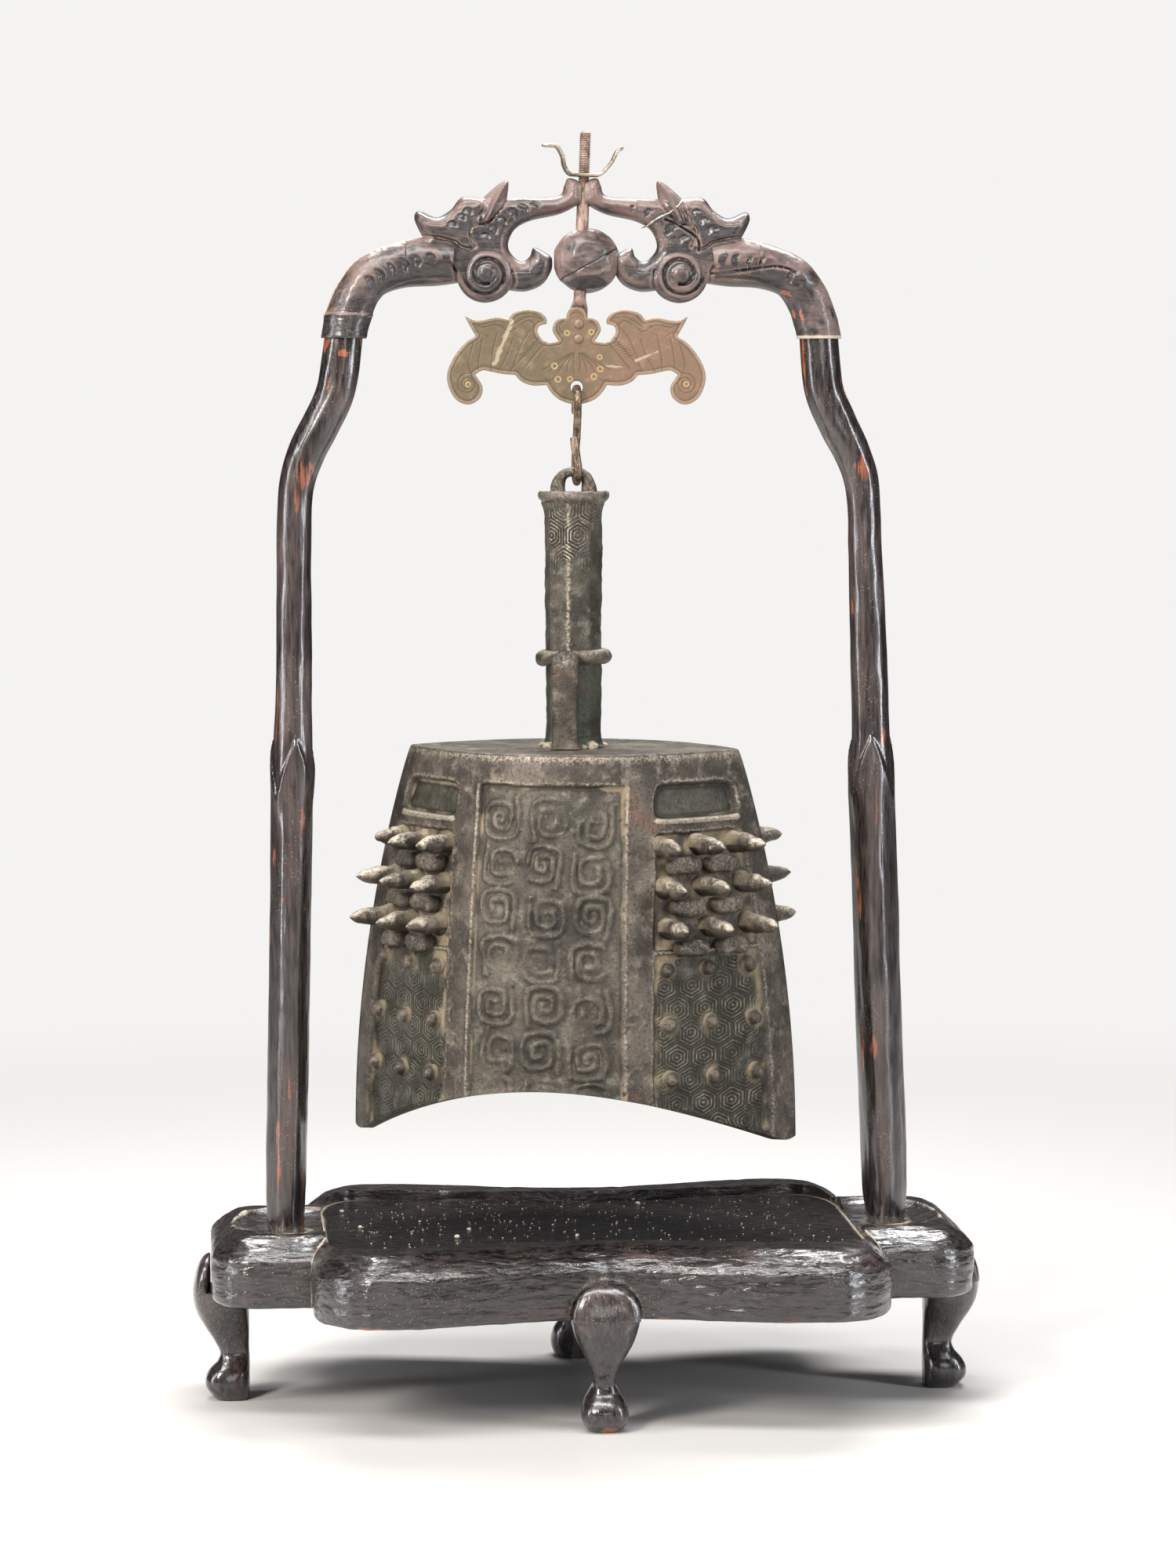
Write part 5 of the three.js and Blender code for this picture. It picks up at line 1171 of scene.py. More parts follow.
def buildHandle():
    b, s = bellSizes, handleSizes
    patches = Patches(bronzeMasks)
    foot, cap, ringZ = b["top"] + 0.2, s["cap"], b["top"] + s["ring"]
    z = np.concatenate([np.linspace(foot, foot + 8, 12), np.linspace(foot + 9, cap - 6, 130)])[:, None]
    a, angle = turns(140), turns(56)
    cosine, sine = np.cos(angle), np.sin(angle)
    bend = (a + math.pi / 2) % (math.pi / 4) - math.pi / 8
    facet = 0.8 * math.cos(math.pi / 8) / np.cos(bend) + 0.195
    radius = (s["shaft"] + s["widening"] * (z - foot) / (cap - foot)) * facet
    radius = radius + 3.0 * np.exp(-(z - foot) / 2.2) + 1.6 * bump(z - (cap - 6), 3.5)
    rough = around(radius, a, z)
    cast = 0.4 * fractal(rough, 12, 81, 3) + 0.22 * fractal(rough, 3.5, 82, 2)
    upper = smoothStep(b["top"] + 62, b["top"] + 85, z) * smoothStep(-0.1, 0.35, fractal(rough, 20, 83, 2))
    ridge = bump((bend + math.pi / 8 + 0.4) % (math.pi / 4) - 0.4, 0.09) * (np.cos(a + math.pi / 2) > 0.95)
    below = smoothStep(b["top"] + 52, b["top"] + 46, z)
    patches.closed(bellPlace(around(radius + cast, a, z)), worn=0.6 * ridge + 0.15 - 0.5 * below,
                   dust=0.5 * np.exp(-(z - foot) / 5) + 0.35 * bump(z - (b["top"] + 45), 3),
                   green=0.95 * below + 0.25, hexOn=upper * 0.9, hexmm=hexagonField(a * 16.5 + 4, z - 5, 17.5))
    fine = catmull(flangeProfile, 3)
    flange = around(fine[:, :1], a, cap + fine[:, 1:])
    flange += 0.3 * fractal(flange, 6, 84, 3)[..., None]
    patches.closed(bellPlace(flange), worn=0.45, dust=0.35)
    t, turn = turns(30), a[:, None]
    wire = s["ringWire"] + 0.35 * np.sin(2 * turn + 1)
    torus = around(s["ringReach"] + wire * np.cos(t), turn, ringZ + 0.7 * np.sin(turn + 2) + wire * 1.05 * np.sin(t))
    torus += 0.4 * fractal(torus, 6, 85, 3)[..., None]
    patches.grid(bellPlace(torus), closeRows=True, closeCols=True, worn=0.25 + 0.5 * np.sin(t),
                 dust=0.5 * (np.sin(t) < -0.3) + 0.4 * (np.sin(t) > 0.85))
    rows = np.linspace(foot, ringZ + 4.5, 60)[:, None]
    shape = smoothStep(ringZ + 4.6, ringZ + 1.5, rows) * 0.5 + 0.5
    across = shape * (s["barWidth"] + 0.35 * np.sin(rows / 9) + 1.2 * smoothStep(foot + 5, foot, rows))
    deep = shape * (4.2 + 0.6 * smoothStep(ringZ - 8, ringZ, rows))
    middle = -24.6 + 1.8 * smoothStep(ringZ - 4, ringZ + 4, rows)
    bar = surface(across * signedPower(cosine, 0.62), middle + deep * signedPower(sine, 0.62), rows)
    bar += 0.4 * fractal(bar, 7, 86, 3)[..., None] * (1, 1, 0)
    patches.closed(bellPlace(bar), worn=0.15 + 0.4 * fractal(bar, 12, 87, 2), dust=0.6 * np.exp(-(rows - foot) / 3),
                   red=0.22 + 0.5 * bump(rows - ringZ + 8, 9))
    lug = np.linspace(-23, -13, 12)[:, None]
    block = surface(7 * signedPower(cosine, 0.7), lug, ringZ - 0.4 + 4.2 * signedPower(sine, 0.7))
    patches.closed(bellPlace(block), flip=True, worn=0.1)
    phi = np.linspace(0.02, math.pi - 0.02, 12)[:, None]
    for x, y, size in solderLumps:
        lump = around(size * np.sin(phi), angle, foot + 0.3 + 0.75 * size * np.cos(phi)) + (x, y, 0)
        lump += 0.5 * fractal(lump, 2.5, 88, 2)[..., None]
        patches.closed(bellPlace(lump), flip=True, worn=0.9, dust=0.7)
    spring = cap + s["archRise"] - s["archRadius"]
    eye = cap + s["eyeRise"] - spring
    phi = np.linspace(-0.12, math.pi + 0.12, 60)
    outer = np.stack([13.2 * np.cos(phi), spring + 13.3 * np.sin(phi)], axis=1)
    inner = np.stack([4.9 * signedPower(np.cos(phi), 0.5), spring + eye * signedPower(np.sin(phi), 0.55)], axis=1)
    for edge in (outer, inner):
        edge[:, 1] = np.maximum(edge[:, 1], cap - 2.6)
    middle, half = (outer + inner) / 2, (outer - inner) / 2
    section = middle[:, None] + half[:, None] * signedPower(cosine, 0.85)[:, None]
    arch = surface(section[..., 0], 3.1 * signedPower(sine, 0.75), section[..., 1])
    arch += 0.22 * fractal(arch, 5, 89, 3)[..., None]
    patches.closed(bellPlace(arch), worn=0.4, dust=0.25)
    buildBronze("bell_handle_cast", patches, "bell_handle")


buildHandle()
print("handle done")


# Filled outline: points on a triangular net inside a closed 2-D edge, joined by a constrained triangulation
def fillOutline(outline, spacing, hole=None):
    loops = [outline] if hole is None else [outline, hole]
    low, high = outline.min(axis=0), outline.max(axis=0)
    ticks = np.arange(low[0], high[0], spacing), np.arange(low[1], high[1], spacing * 0.866)
    net = np.stack(np.meshgrid(*ticks), axis=-1)
    net[1::2, :, 0] += spacing / 2
    net = net.reshape(-1, 2)
    keep = insidePolygon(net, outline)
    if hole is not None:
        keep &= ~insidePolygon(net, hole)
    net = net[keep]
    away = np.min([lineDistance(net, closedLine(loop)) for loop in loops], axis=0)
    net = net[away > 0.45 * spacing]
    edges, start = [], 0
    for loop in loops:
        edges += [(start + k, start + (k + 1) % len(loop)) for k in range(len(loop))]
        start += len(loop)
    points = [Vector(p) for p in np.vstack(loops + [net]).tolist()]
    found = geometry.delaunay_2d_cdt(points, edges, [], 0, 1e-7)
    flat, faces = np.array([tuple(p) for p in found[0]]), np.array(found[2])
    middle = flat[faces].mean(axis=1)
    keep = insidePolygon(middle, outline)
    if hole is not None:
        keep &= ~insidePolygon(middle, hole)
    faces = faces[keep]
    a, b, c = (flat[faces[:, k]] for k in range(3))
    turned = (b[:, 0] - a[:, 0]) * (c[:, 1] - a[:, 1]) - (b[:, 1] - a[:, 1]) * (c[:, 0] - a[:, 0]) < 0
    faces[turned] = faces[turned][:, ::-1]
    inset = np.min([lineDistance(flat, closedLine(loop)) for loop in loops], axis=0)
    return flat, faces, inset


# Crest: each dragon is a sawn slab with rounded edges, y(p) = +-8 sqrt(1 - (1 - d / 7)^2) with d the distance in
# from its edge, and gouged notches; an arm of round section and a rolled volute grow out of it
crestSizes = dict(x=-3.1, foot=600.5, span=146.7, rise=89.6, half=8.0, round=7.0, arm=12.3,
                  volute=(54.7, 35.9))
crestRuns = (
    ((0.978, 0.06), (0.968, 0.17), (0.92, 0.36), (0.837, 0.5), (0.734, 0.568), (0.613, 0.63)),
    ((0.613, 0.63), (0.644, 0.74), (0.627, 0.792), (0.561, 0.753), (0.506, 0.798), (0.46, 0.88), (0.382, 0.874)),
    ((0.382, 0.874), (0.32, 0.961), (0.285, 0.978), (0.29, 0.87)),
    ((0.29, 0.87), (0.2, 0.876), (0.092, 0.89), (0.07, 0.955), (0.056, 0.998), (0.02, 0.985), (0.002, 0.944)),
    ((0.002, 0.944), (0.002, 0.848)),
    ((0.002, 0.848), (0.086, 0.776), (0.203, 0.731), (0.265, 0.669), (0.285, 0.563), (0.24, 0.479), (0.203, 0.51),
     (0.186, 0.567), (0.134, 0.526), (0.117, 0.5)),
    ((0.117, 0.5), (0.119, 0.428), (0.154, 0.338), (0.217, 0.293), (0.285, 0.299)),
    ((0.285, 0.299), (0.375, 0.228), (0.437, 0.26), (0.478, 0.344)),
    ((0.478, 0.344), (0.56, 0.326), (0.685, 0.313), (0.775, 0.254), (0.815, 0.12), (0.823, 0.06)))
armLine = ((0.915, 0), (0.898, 0.132), (0.859, 0.279), (0.802, 0.391), (0.715, 0.45), (0.61, 0.484), (0.5, 0.47))
armGirth = ((0, 1.02), (0.17, 1), (0.33, 0.97), (0.5, 0.98), (0.67, 1), (0.83, 1.03), (1, 0.9))

# Gouged notches, each an arc through three places, in mm out from the seam and up from the arms' feet
notches = {
    -1: [((122.5, 34.0), (118.0, 32.3), (118.6, 28.3)), ((117.0, 38.1), (112.5, 35.8), (112.8, 31.0)),
         ((109.8, 41.3), (106.2, 38.3), (106.5, 34.6)), ((102.9, 43.8), (98.7, 41.3), (99.9, 36.6)),
         ((95.6, 45.8), (91.6, 43.3), (93.2, 38.6)), ((88.0, 47.0), (83.6, 44.7), (85.0, 39.9)),
         ((80.2, 49.1), (75.9, 46.3), (77.0, 41.5)), ((76.5, 62.7), (72.9, 64.9), (70.5, 62.2)),
         ((71.4, 66.9), (67.6, 68.7), (65.9, 65.7)), ((67.6, 70.7), (63.8, 72.1), (62.2, 69.1)),
         ((58.1, 57.3), (54.0, 58.1), (52.3, 55.8)), ((53.7, 61.9), (49.5, 62.6), (48.3, 58.4)),
         ((49.0, 67.0), (44.6, 66.8), (43.4, 62.8)), ((42.9, 70.8), (37.4, 70.8), (37.0, 66.6)),
         ((36.4, 73.8), (32.3, 73.5), (31.3, 70.0)), ((29.5, 75.4), (25.3, 74.9), (24.4, 71.9))],
    1: [((28.3, 73.9), (26.6, 72.5), (27.4, 70.8)), ((38.7, 71.2), (34.6, 71.0), (34.7, 67.9)),
        ((52.8, 62.3), (46.6, 62.5), (46.6, 57.4)), ((58.9, 56.6), (54.1, 56.2), (53.7, 52.9)),
        ((65.2, 71.1), (61.4, 70.3), (61.6, 68.6)), ((70.4, 66.3), (65.6, 65.5), (65.8, 63.6)),
        ((76.1, 61.6), (69.8, 61.1), (69.6, 58.3)), ((80.4, 47.2), (76.4, 45.6), (77.7, 40.5)),
        ((87.2, 47.0), (83.4, 44.9), (84.7, 40.4)), ((94.1, 45.2), (92.1, 42.6), (93.0, 39.3)),
        ((101.7, 45.1), (99.3, 42.8), (100.1, 39.9)), ((118.9, 37.2), (114.9, 34.9), (116.0, 31.0))]}
jawLine = catmull([(92, 57.2), (81.8, 55.9), (72.7, 53.7), (69.2, 51.1), (64.6, 49.6), (61, 51.2)], 6)
napeLine = catmull([(61, 51.2), (63.8, 57.9), (62.6, 62.4), (59.1, 63.3), (54.0, 63.7), (49.5, 67.8), (45.4, 73.0),
                    (43.0, 77.2)], 6)
earLine = catmull([(57.5, 79), (55.7, 71.9), (60.1, 66.9), (60.6, 63.3)], 6)
earRidge = [(42.6, 87.2), (48.5, 78.0), (54.5, 66.0)]
browLine = catmull([(88, 64.6), (83.5, 63.8), (77.5, 64.6), (72.6, 70.2), (67.6, 73.6), (60.6, 74.4)], 6)
hoodLines = [catmull([(76, 43), (72.4, 38.0), (70.4, 30.4), (64.8, 23.6), (56.0, 20.2)], 6),
             catmull([(40.5, 38.0), (39.2, 31.5), (40.8, 27.2)], 6)]
crackLine = catmull([(45.6, 66.6), (50.0, 65.0), (54.2, 62.8), (62.4, 57.6), (64.8, 53.4), (65.0, 49.4)], 6)
splitLine = catmull([(72.4, 36.2), (81.2, 36.8), (91.6, 37.9), (101.5, 39.4), (107.8, 40.4), (114.6, 39.4),
                     (120, 37)], 6)


def crestOutline():
    s = crestSizes
    runs = [catmull(np.array(run) * (s["span"], s["rise"]), 10) for run in crestRuns]
    return resample(np.vstack([run[:-1] for run in runs] + [runs[0][:1]]), 760)[:-1]


# Notch: inside its arc the wood falls away steeply and comes back in a slope; a thin rim stands outside it
def notchDepth(flat, arc):
    a, b, c = (np.array(p) for p in arc)
    ab, chord = b - a, c - a
    span, turned = np.linalg.norm(chord), chord[0] * ab[1] - chord[1] * ab[0]
    centre = a + (ab[::-1] * (chord @ chord) - chord[::-1] * (ab @ ab)) * (1, -1) / (2 * turned)
    along = ((flat - a) @ chord) / (chord @ chord)
    inner = np.linalg.norm(a - centre) - np.linalg.norm(flat - centre, axis=-1)
    near = bump(np.linalg.norm(flat - (a + c) / 2, axis=-1), 4.2) > 0.02
    beyond = (chord[0] * (flat[:, 1] - a[1]) - chord[1] * (flat[:, 0] - a[0])) * np.sign(turned) / span
    taper = smoothStep(-0.12, 0.12, along) * smoothStep(1.15, 0.75, along) * smoothStep(-1.3, 0.1, beyond) * near
    slope = np.where(inner > 0, np.clip(1 - inner * span / (1.5 * abs(turned)), 0, 1), bump(inner, 0.7))
    return slope * taper, bump(inner + 0.85, 0.6) * taper


# Height of the carving over the plain body, with what the shader reads
def carving(u, w, side):
    x, z = u.ravel(), w.ravel()
    level = surface(x, z, 0)
    flat = level[:, :2]
    lift, dust, worn = np.zeros((3, len(flat)))
    for arc in notches[side]:
        cut, rim = notchDepth(flat, arc)
        # the cut is painted dark, a painted shadow inside the notch, and its rim painted lighter, a painted highlight
        lift += 0.15 * rim - 1.35 * cut
        worn += 0.6 * rim - 2.2 * cut
    body = (x > 30) & (x < 100)
    for line, depth, width in ((jawLine, 1.7, 0.9), (napeLine, 1.5, 0.7), (earLine, 1.0, 0.8), (browLine, 0.7, 0.7)):
        d = lineDistance(flat, line) + 0.2 * noiseAt(level, 2, 5)
        lift -= depth * bump(d, width) * body
        dust += 0.6 * bump(d, width * 0.9) * body
        worn += 0.5 * bump(d - 1.6 * width, 0.7) * body
    head = insidePolygon(flat, np.vstack([jawLine, napeLine, [(40, 92), (100, 92), (100, 60)]]))
    inset = np.minimum(lineDistance(flat, jawLine), lineDistance(flat, napeLine))
    lift += np.where(head, 1.1, -0.9 * (z > 36) * body) * smoothStep(0, 1.6, inset)
    ear = lineDistance(flat, earRidge)
    earOn = smoothStep(62, 66, z + 0.6 * (60 - x)) * (x < 58) * head
    lift += earOn * (1.3 * bump(ear, 0.9) - 1.3 * bump(ear - 3.2, 2.2))
    worn += earOn * 0.9 * bump(ear, 0.9)
    for line in hoodLines:
        d = lineDistance(flat, line)
        lift -= 1.2 * bump(d, 0.8)
        worn += 0.6 * bump(d - 1.6, 0.8)
    saw = bump(x - 50, 13) * smoothStep(46, 50, z) * smoothStep(63, 58, z) * ~head
    streak = noiseAt(level, (14, 1.1, 9), 77)
    lift += 0.16 * saw * streak
    chip = 0.5 * saw * smoothStep(0.1, 0.6, streak)
    if side > 0:
        for line, width in ((crackLine, 0.45), (splitLine, 0.6)):
            d = lineDistance(flat, line)
            lift -= 1.7 * bump(d, width)
            worn += -1.2 * bump(d, width) + 0.7 * bump(d - 1.3, 0.5)
    return [value.reshape(u.shape) for value in (lift, dust, worn, chip)]


def slabHalf(inset):
    s = crestSizes
    return s["half"] * np.sqrt(1 - (1 - np.minimum(inset, s["round"]) / s["round"]) ** 2)


def crestPlace(points, side):
    s = crestSizes
    return points * (side, 1, 1) + (s["x"], 0, s["foot"])


# Both carved faces of the slab, from the net of points inside its outline
def carvedSlab(patches, net, side, seed):
    flat, faces, inset = net
    x, z = flat.T
    lift, dust, worn, chip = carving(x, z, side)
    body = surface(x, -slabHalf(inset) - lift * smoothStep(0, 2.2, inset), z)
    rough = 0.3 * fractal(body, 11, seed, 3) + 0.12 * fractal(body, (6, 6, 1.6), seed + 3, 2)
    body[:, 1] -= rough * smoothStep(0, 1.5, inset)
    edge = inset < 1e-3
    mirrored = body * (1, -1, 1)
    mirrored[edge] = body[edge]
    worn = worn + 0.35 * smoothStep(70, 80, z) + 0.3 * rough + 0.3 * bump(inset - 3.2, 2.2) - 0.15
    nose = bump(np.hypot(x - 6, z - crestSizes["rise"] * 0.93), 9)
    dust = dust + 0.35 * smoothStep(3, 0, np.abs(x - 1)) + 0.4 * smoothStep(-0.2, 0.6, fractal(body, 9, 5, 2)) * nose
    for points, turned in ((body, side < 0), (mirrored, side > 0)):
        patches.add(crestPlace(points, side), [faces[:, ::-1] if turned else faces], worn=worn, dust=dust, chip=chip)


# Arm, round in section: p(s, a) = line(s) + r(s) (cos a outward + sin a back)
def carvedArm(patches, side, seed):
    s = crestSizes
    line = resample(catmull(np.array(armLine) * (s["span"], s["rise"]), 24), 230)
    line = surface(line[:, 0], 0, line[:, 1])
    turn = turns(96)
    tangent = tangents(line)
    outward = surface(tangent[:, 2], 0, -tangent[:, 0])
    share = np.linspace(0, 1, len(line))
    ring = np.cos(turn)[:, None] * outward[:, None] + np.sin(turn)[:, None] * np.array([0, 1, 0])
    offset = s["arm"] * table(armGirth, share)[:, None, None] * ring
    offset[..., 2] *= smoothStep(0, 9, line[:, 2])[:, None]
    plain = line[:, None] + offset
    lift, dust, worn, chip = carving(plain[..., 0], plain[..., 2], side)
    facing = smoothStep(0.15, 0.6, np.abs(ring[..., 1]))
    grain = 0.35 * fractal(plain, (16, 9, 16), seed + 5, 3) + 0.15 * fractal(plain, 4, seed + 6, 2)
    low = plain[..., 2]
    left, right = side < 0, side > 0
    sleeve = smoothStep(13.6, 12.8, low + 1.2 * noiseAt(plain, 6, 8)) * left
    outerLine = bump(np.minimum(turn, 2 * math.pi - turn) - 0.12, 0.16) * smoothStep(8, 16, low)
    lift = lift * facing * smoothStep(0.93, 0.8, share)[:, None] + grain + 0.45 * sleeve
    lift = lift + 0.5 * bump(low - 13, 0.9) * left + 0.5 * outerLine * left + 0.2 * bump(low - 1.2, 1.2)
    # shade is painted shade: darker where the arm's section faces down and inwards
    shade = smoothStep(0.35, -0.5, ring[..., 0] * 0.2 + ring[..., 2] * np.where(low > 30, 1, 0.2)) * 0.5
    worn = worn * facing + 0.45 * grain + 0.3 - 0.9 * sleeve - shade + 0.6 * bump(low - 13.4, 0.7) * left
    worn -= 0.9 * smoothStep(0.2, 0.8, fractal(plain, (9, 9, 14), 7, 2)) * (low < 34) * right
    chip = chip * facing + 0.9 * outerLine * smoothStep(-0.3, 0.4, noiseAt(plain, 4, 3))
    chip = chip + 0.6 * bump(low - 1, 1.4) * smoothStep(0.1, 0.6, noiseAt(plain, 5, 14))
    inside = smoothStep(-0.25, -0.6, ring[..., 0]) * smoothStep(42, 30, low) * right
    chip = np.maximum(chip, 0.72 * inside * smoothStep(-0.5, 0.3, noiseAt(plain, (4, 4, 7), 24)))
    dust = dust * facing + 0.7 * outerLine + (0.4 if left else 0.9) * bump(low - 0.8, 1.3)
    dust = dust + 0.35 * bump(low - 12.6, 1.0) * left
    patches.closed(crestPlace(plain + ring * lift[..., None], side), flip=left, worn=worn, dust=dust, chip=chip)


# Volute: rings r(k) about a fore-and-aft axis, its face grooved along r = 5.4 + 0.86 angle
def carvedVolute(patches, side, seed):
    section = [(0.01, 12.6), (1.5, 12.5), (3, 12.2), (4.2, 11.6), (4.9, 10.9), (5.6, 10.6)]
    section += [(r, 11.2 - 3.4 * ((r - 5.6) / 9.4) ** 2) for r in np.linspace(6.2, 14.2, 19)]
    section += [(14.4 + 1.6 * math.sin(t), 4.6 + 3.4 * math.cos(t)) for t in np.linspace(0.1, 1.5, 7)]
    section = np.array([(min(r, 16.0 - 0.12 * k), h) for k, (r, h) in enumerate(section)])
    section = np.vstack([section, [(15.95, 3.0)], [(15.95, 0.0)]])
    section = np.vstack([section, section[-2::-1] * (1, -1)])
    angle = turns(128)
    r, h = section[:, :1], section[:, 1:]
    wind = (angle + 1.9) % (2 * math.pi)
    coil = 5.4 + 0.86 * wind
    groove = bump(r - coil, 1.0) * (r > 4.9) + bump(r - coil - 0.86 * 2 * math.pi, 0.9) * smoothStep(4.4, 3.6, wind)
    sink = smoothStep(0.1, 0.95, np.cos(angle - 1.1))
    height = np.abs(h) * (1 - 0.2 * sink * smoothStep(6, 15, r)) - 1.9 * groove * smoothStep(15.2, 14.2, r)
    x, z = crestSizes["volute"]
    place = surface(x + r * np.cos(angle), -np.sign(h) * height, z + r * np.sin(angle))
    place += (0.25 * fractal(place, 7, seed + 8, 2))[..., None] * (0.6, 1, 0.6)
    patches.closed(crestPlace(place, side), flip=side > 0, worn=0.3 * bump(r - 11, 2.4) - 0.9 * groove + 0.1,
                   dust=0.4 * groove, chip=0.52 * smoothStep(5.2, 3.5, r) * (side > 0))


def buildDragons():
    net = fillOutline(crestOutline(), 0.62)
    for name, side, seed in (("crest_left", -1, 91), ("crest_right", 1, 92)):
        patches = Patches()
        carvedSlab(patches, net, side, seed)
        carvedArm(patches, side, seed)
        carvedVolute(patches, side, seed)
        buildObject(name + "_carving", patches, carvedWood, "stand", (name,), 60)


# Pearl: p(n) = middle + half sizes n, cut back to the nearest of a few flat facets
pearlSizes = dict(middle=(-0.9, 0, 644.0), half=(18.9, 15.0, 18.0))


def buildPearl():
    middle = pearlSizes["middle"]
    lat, lon = np.linspace(0.02, math.pi - 0.02, 120)[:, None], turns(180)
    n = around(np.sin(lat), lon, np.cos(lat))
    cutBack = np.ones(n.shape[:2])
    pick = np.random.default_rng(5)
    facets = [((0, -0.72, -0.7), 0.93), ((0.5, -0.6, -0.62), 0.94), ((-0.5, -0.6, -0.62), 0.94),
              ((0, -0.95, 0.3), 0.955)]
    facets += [(pick.normal(size=3), pick.uniform(0.955, 0.985)) for _ in range(22)]
    for direction, depth in facets:
        reach = n @ unit(np.array(direction))
        cutBack = np.minimum(cutBack, np.where(reach > 0.3, depth / np.maximum(reach, 0.3), 9))
    points = middle + n * pearlSizes["half"] * cutBack[..., None]
    points += n * (0.22 * fractal(points, 6, 3, 3))[..., None]
    x, y, z = np.moveaxis(points - middle, -1, 0)
    crack = np.abs((z - 0.55 * x + 2.5) * 0.87 + 0.25 * noiseAt(points, 5, 3))
    points += n * (-0.8 * bump(crack, 0.4) * (y < 0))[..., None]
    fold = z + 7.6 - 0.03 * x ** 2
    # shadow is a painted shadow: the band under the lower facets is painted darker
    shadow = smoothStep(-7.5, -9.5, z + 0.03 * x ** 2)
    worn = 0.45 + 0.25 * fractal(points, (9, 9, 5), 6, 2) - 0.9 * shadow - bump(crack, 0.45) * (y < 0)
    patches = Patches()
    patches.closed(points, flip=True, worn=worn + 0.45 * bump(fold, 1.0), dust=0.3 * smoothStep(4, 14, z),
                   chip=0.42 * bump(x + 2, 3.5) * bump(z, 6))
    buildObject("pearl_ball", patches, carvedWood, "stand", ("pearl",), 60)


# Repair wire: a thin twisted wire that lies on the carving across the crack
wireLine = ((33.2, 62.3), (36.4, 63.4), (40.8, 66.6), (44.7, 68.5), (48.4, 70.2), (52.4, 73.4), (55, 76.2))


def buildRepairWire():
    path = catmull(wireLine, 40)
    inset = lineDistance(path, closedLine(crestOutline()))
    line = crestPlace(surface(path[:, 0], -slabHalf(inset) - 0.55, path[:, 1]), 1)
    patches = Patches()
    for phase in (0, math.pi):
        turn = np.linspace(0, 30 * math.pi, len(line)) + phase
        tube(patches, line + 0.42 * surface(np.sin(turn), np.cos(turn) * 0.6, np.sin(turn)), 0.5, 10)
    buildObject("twisted_repair_wire", patches, brightWire, "stand", ("repair_wire",), 60)


buildDragons()
buildPearl()
buildRepairWire()
print("crest done")


# Hanger: everything hangs on an axis that leans two degrees; lean() turns a place about the plate's hole
hanger = dict(x=-6.4, z=573.2, lean=2.0)


def lean(points):
    a = math.radians(hanger["lean"])
    spin = np.array([[math.cos(a), 0, -math.sin(a)], [0, 1, 0], [math.sin(a), 0, math.cos(a)]])
    return points @ spin + (hanger["x"], 0, hanger["z"])


# Rod: thread r = 2.93 + 0.24 tanh(2.2 cos(2 pi h / pitch - a)) above, a round shank, a flat tongue behind the plate
rodSizes = dict(pitch=1.27, thread=2.93, cut=0.24, shank=3.47, top=142.9, threadEnd=107.5, flat=50.5, foot=14.4)


def buildRod():
    s = rodSizes
    turn = turns(48)

    def wear(z, seed):
        return fractal(around(3.5, turn, z), (2.5, 2.5, 6), seed, 3)

    patches = Patches(("worn",))
    thread = np.arange(s["threadEnd"], s["top"], s["pitch"] / 9)[::-1][:, None]
    phase = 2 * math.pi * thread / s["pitch"] - turn
    radius = s["thread"] + s["cut"] * np.tanh(2.2 * np.cos(phase)) - 0.9 * smoothStep(s["top"] - 1, s["top"], thread)
    patches.closed(lean(around(radius, turn, thread)), flip=True, worn=0.5 * np.cos(phase))
    shank = np.linspace(108.6, s["flat"], 90)[:, None]
    radius = s["shank"] + 0.07 * wear(shank, 3) - 0.25 * smoothStep(107.4, 108.6, shank)
    patches.grid(lean(around(radius, turn, shank)), closeCols=True, flip=True, capStart=True,
                 worn=0.4 * wear(shank, 5))
    low = np.linspace(s["flat"], s["foot"], 70)[:, None]
    flatten = smoothStep(s["flat"] - 1, 43.5, low)
    wide = 3.5 + 1.45 * flatten - 4.4 * smoothStep(18.0, 14.2, low) ** 2
    across, out = (signedPower(wave, 1 - 0.45 * flatten) for wave in (np.cos(turn), np.sin(turn)))
    tongue = surface(wide * across, 2.8 * flatten + (3.5 - 2 * flatten) * out, low)
    patches.grid(lean(tongue), closeCols=True, flip=True, capEnd=True, worn=0.4 * wear(low, 7))
    buildObject("threaded_rod", patches, rustyIron, "hanger", ("hanger_rod",), 60)


# Bent strip: its middle line is swept with a rounded flat section
stripSizes = dict(length=48, height=15.7, halfWidth=5.95, halfThick=0.93, nose=690.1, clear=1.3)
stripLine = ((-0.5, 1), (-0.4, 1), (-0.33, 0.97), (-0.265, 0.66), (-0.237, 0.3), (-0.18, 0.04), (-0.1, 0), (0.1, 0),
             (0.18, 0.03), (0.237, 0.18), (0.32, 0.5), (0.37, 0.84), (0.42, 1), (0.44, 0.94))


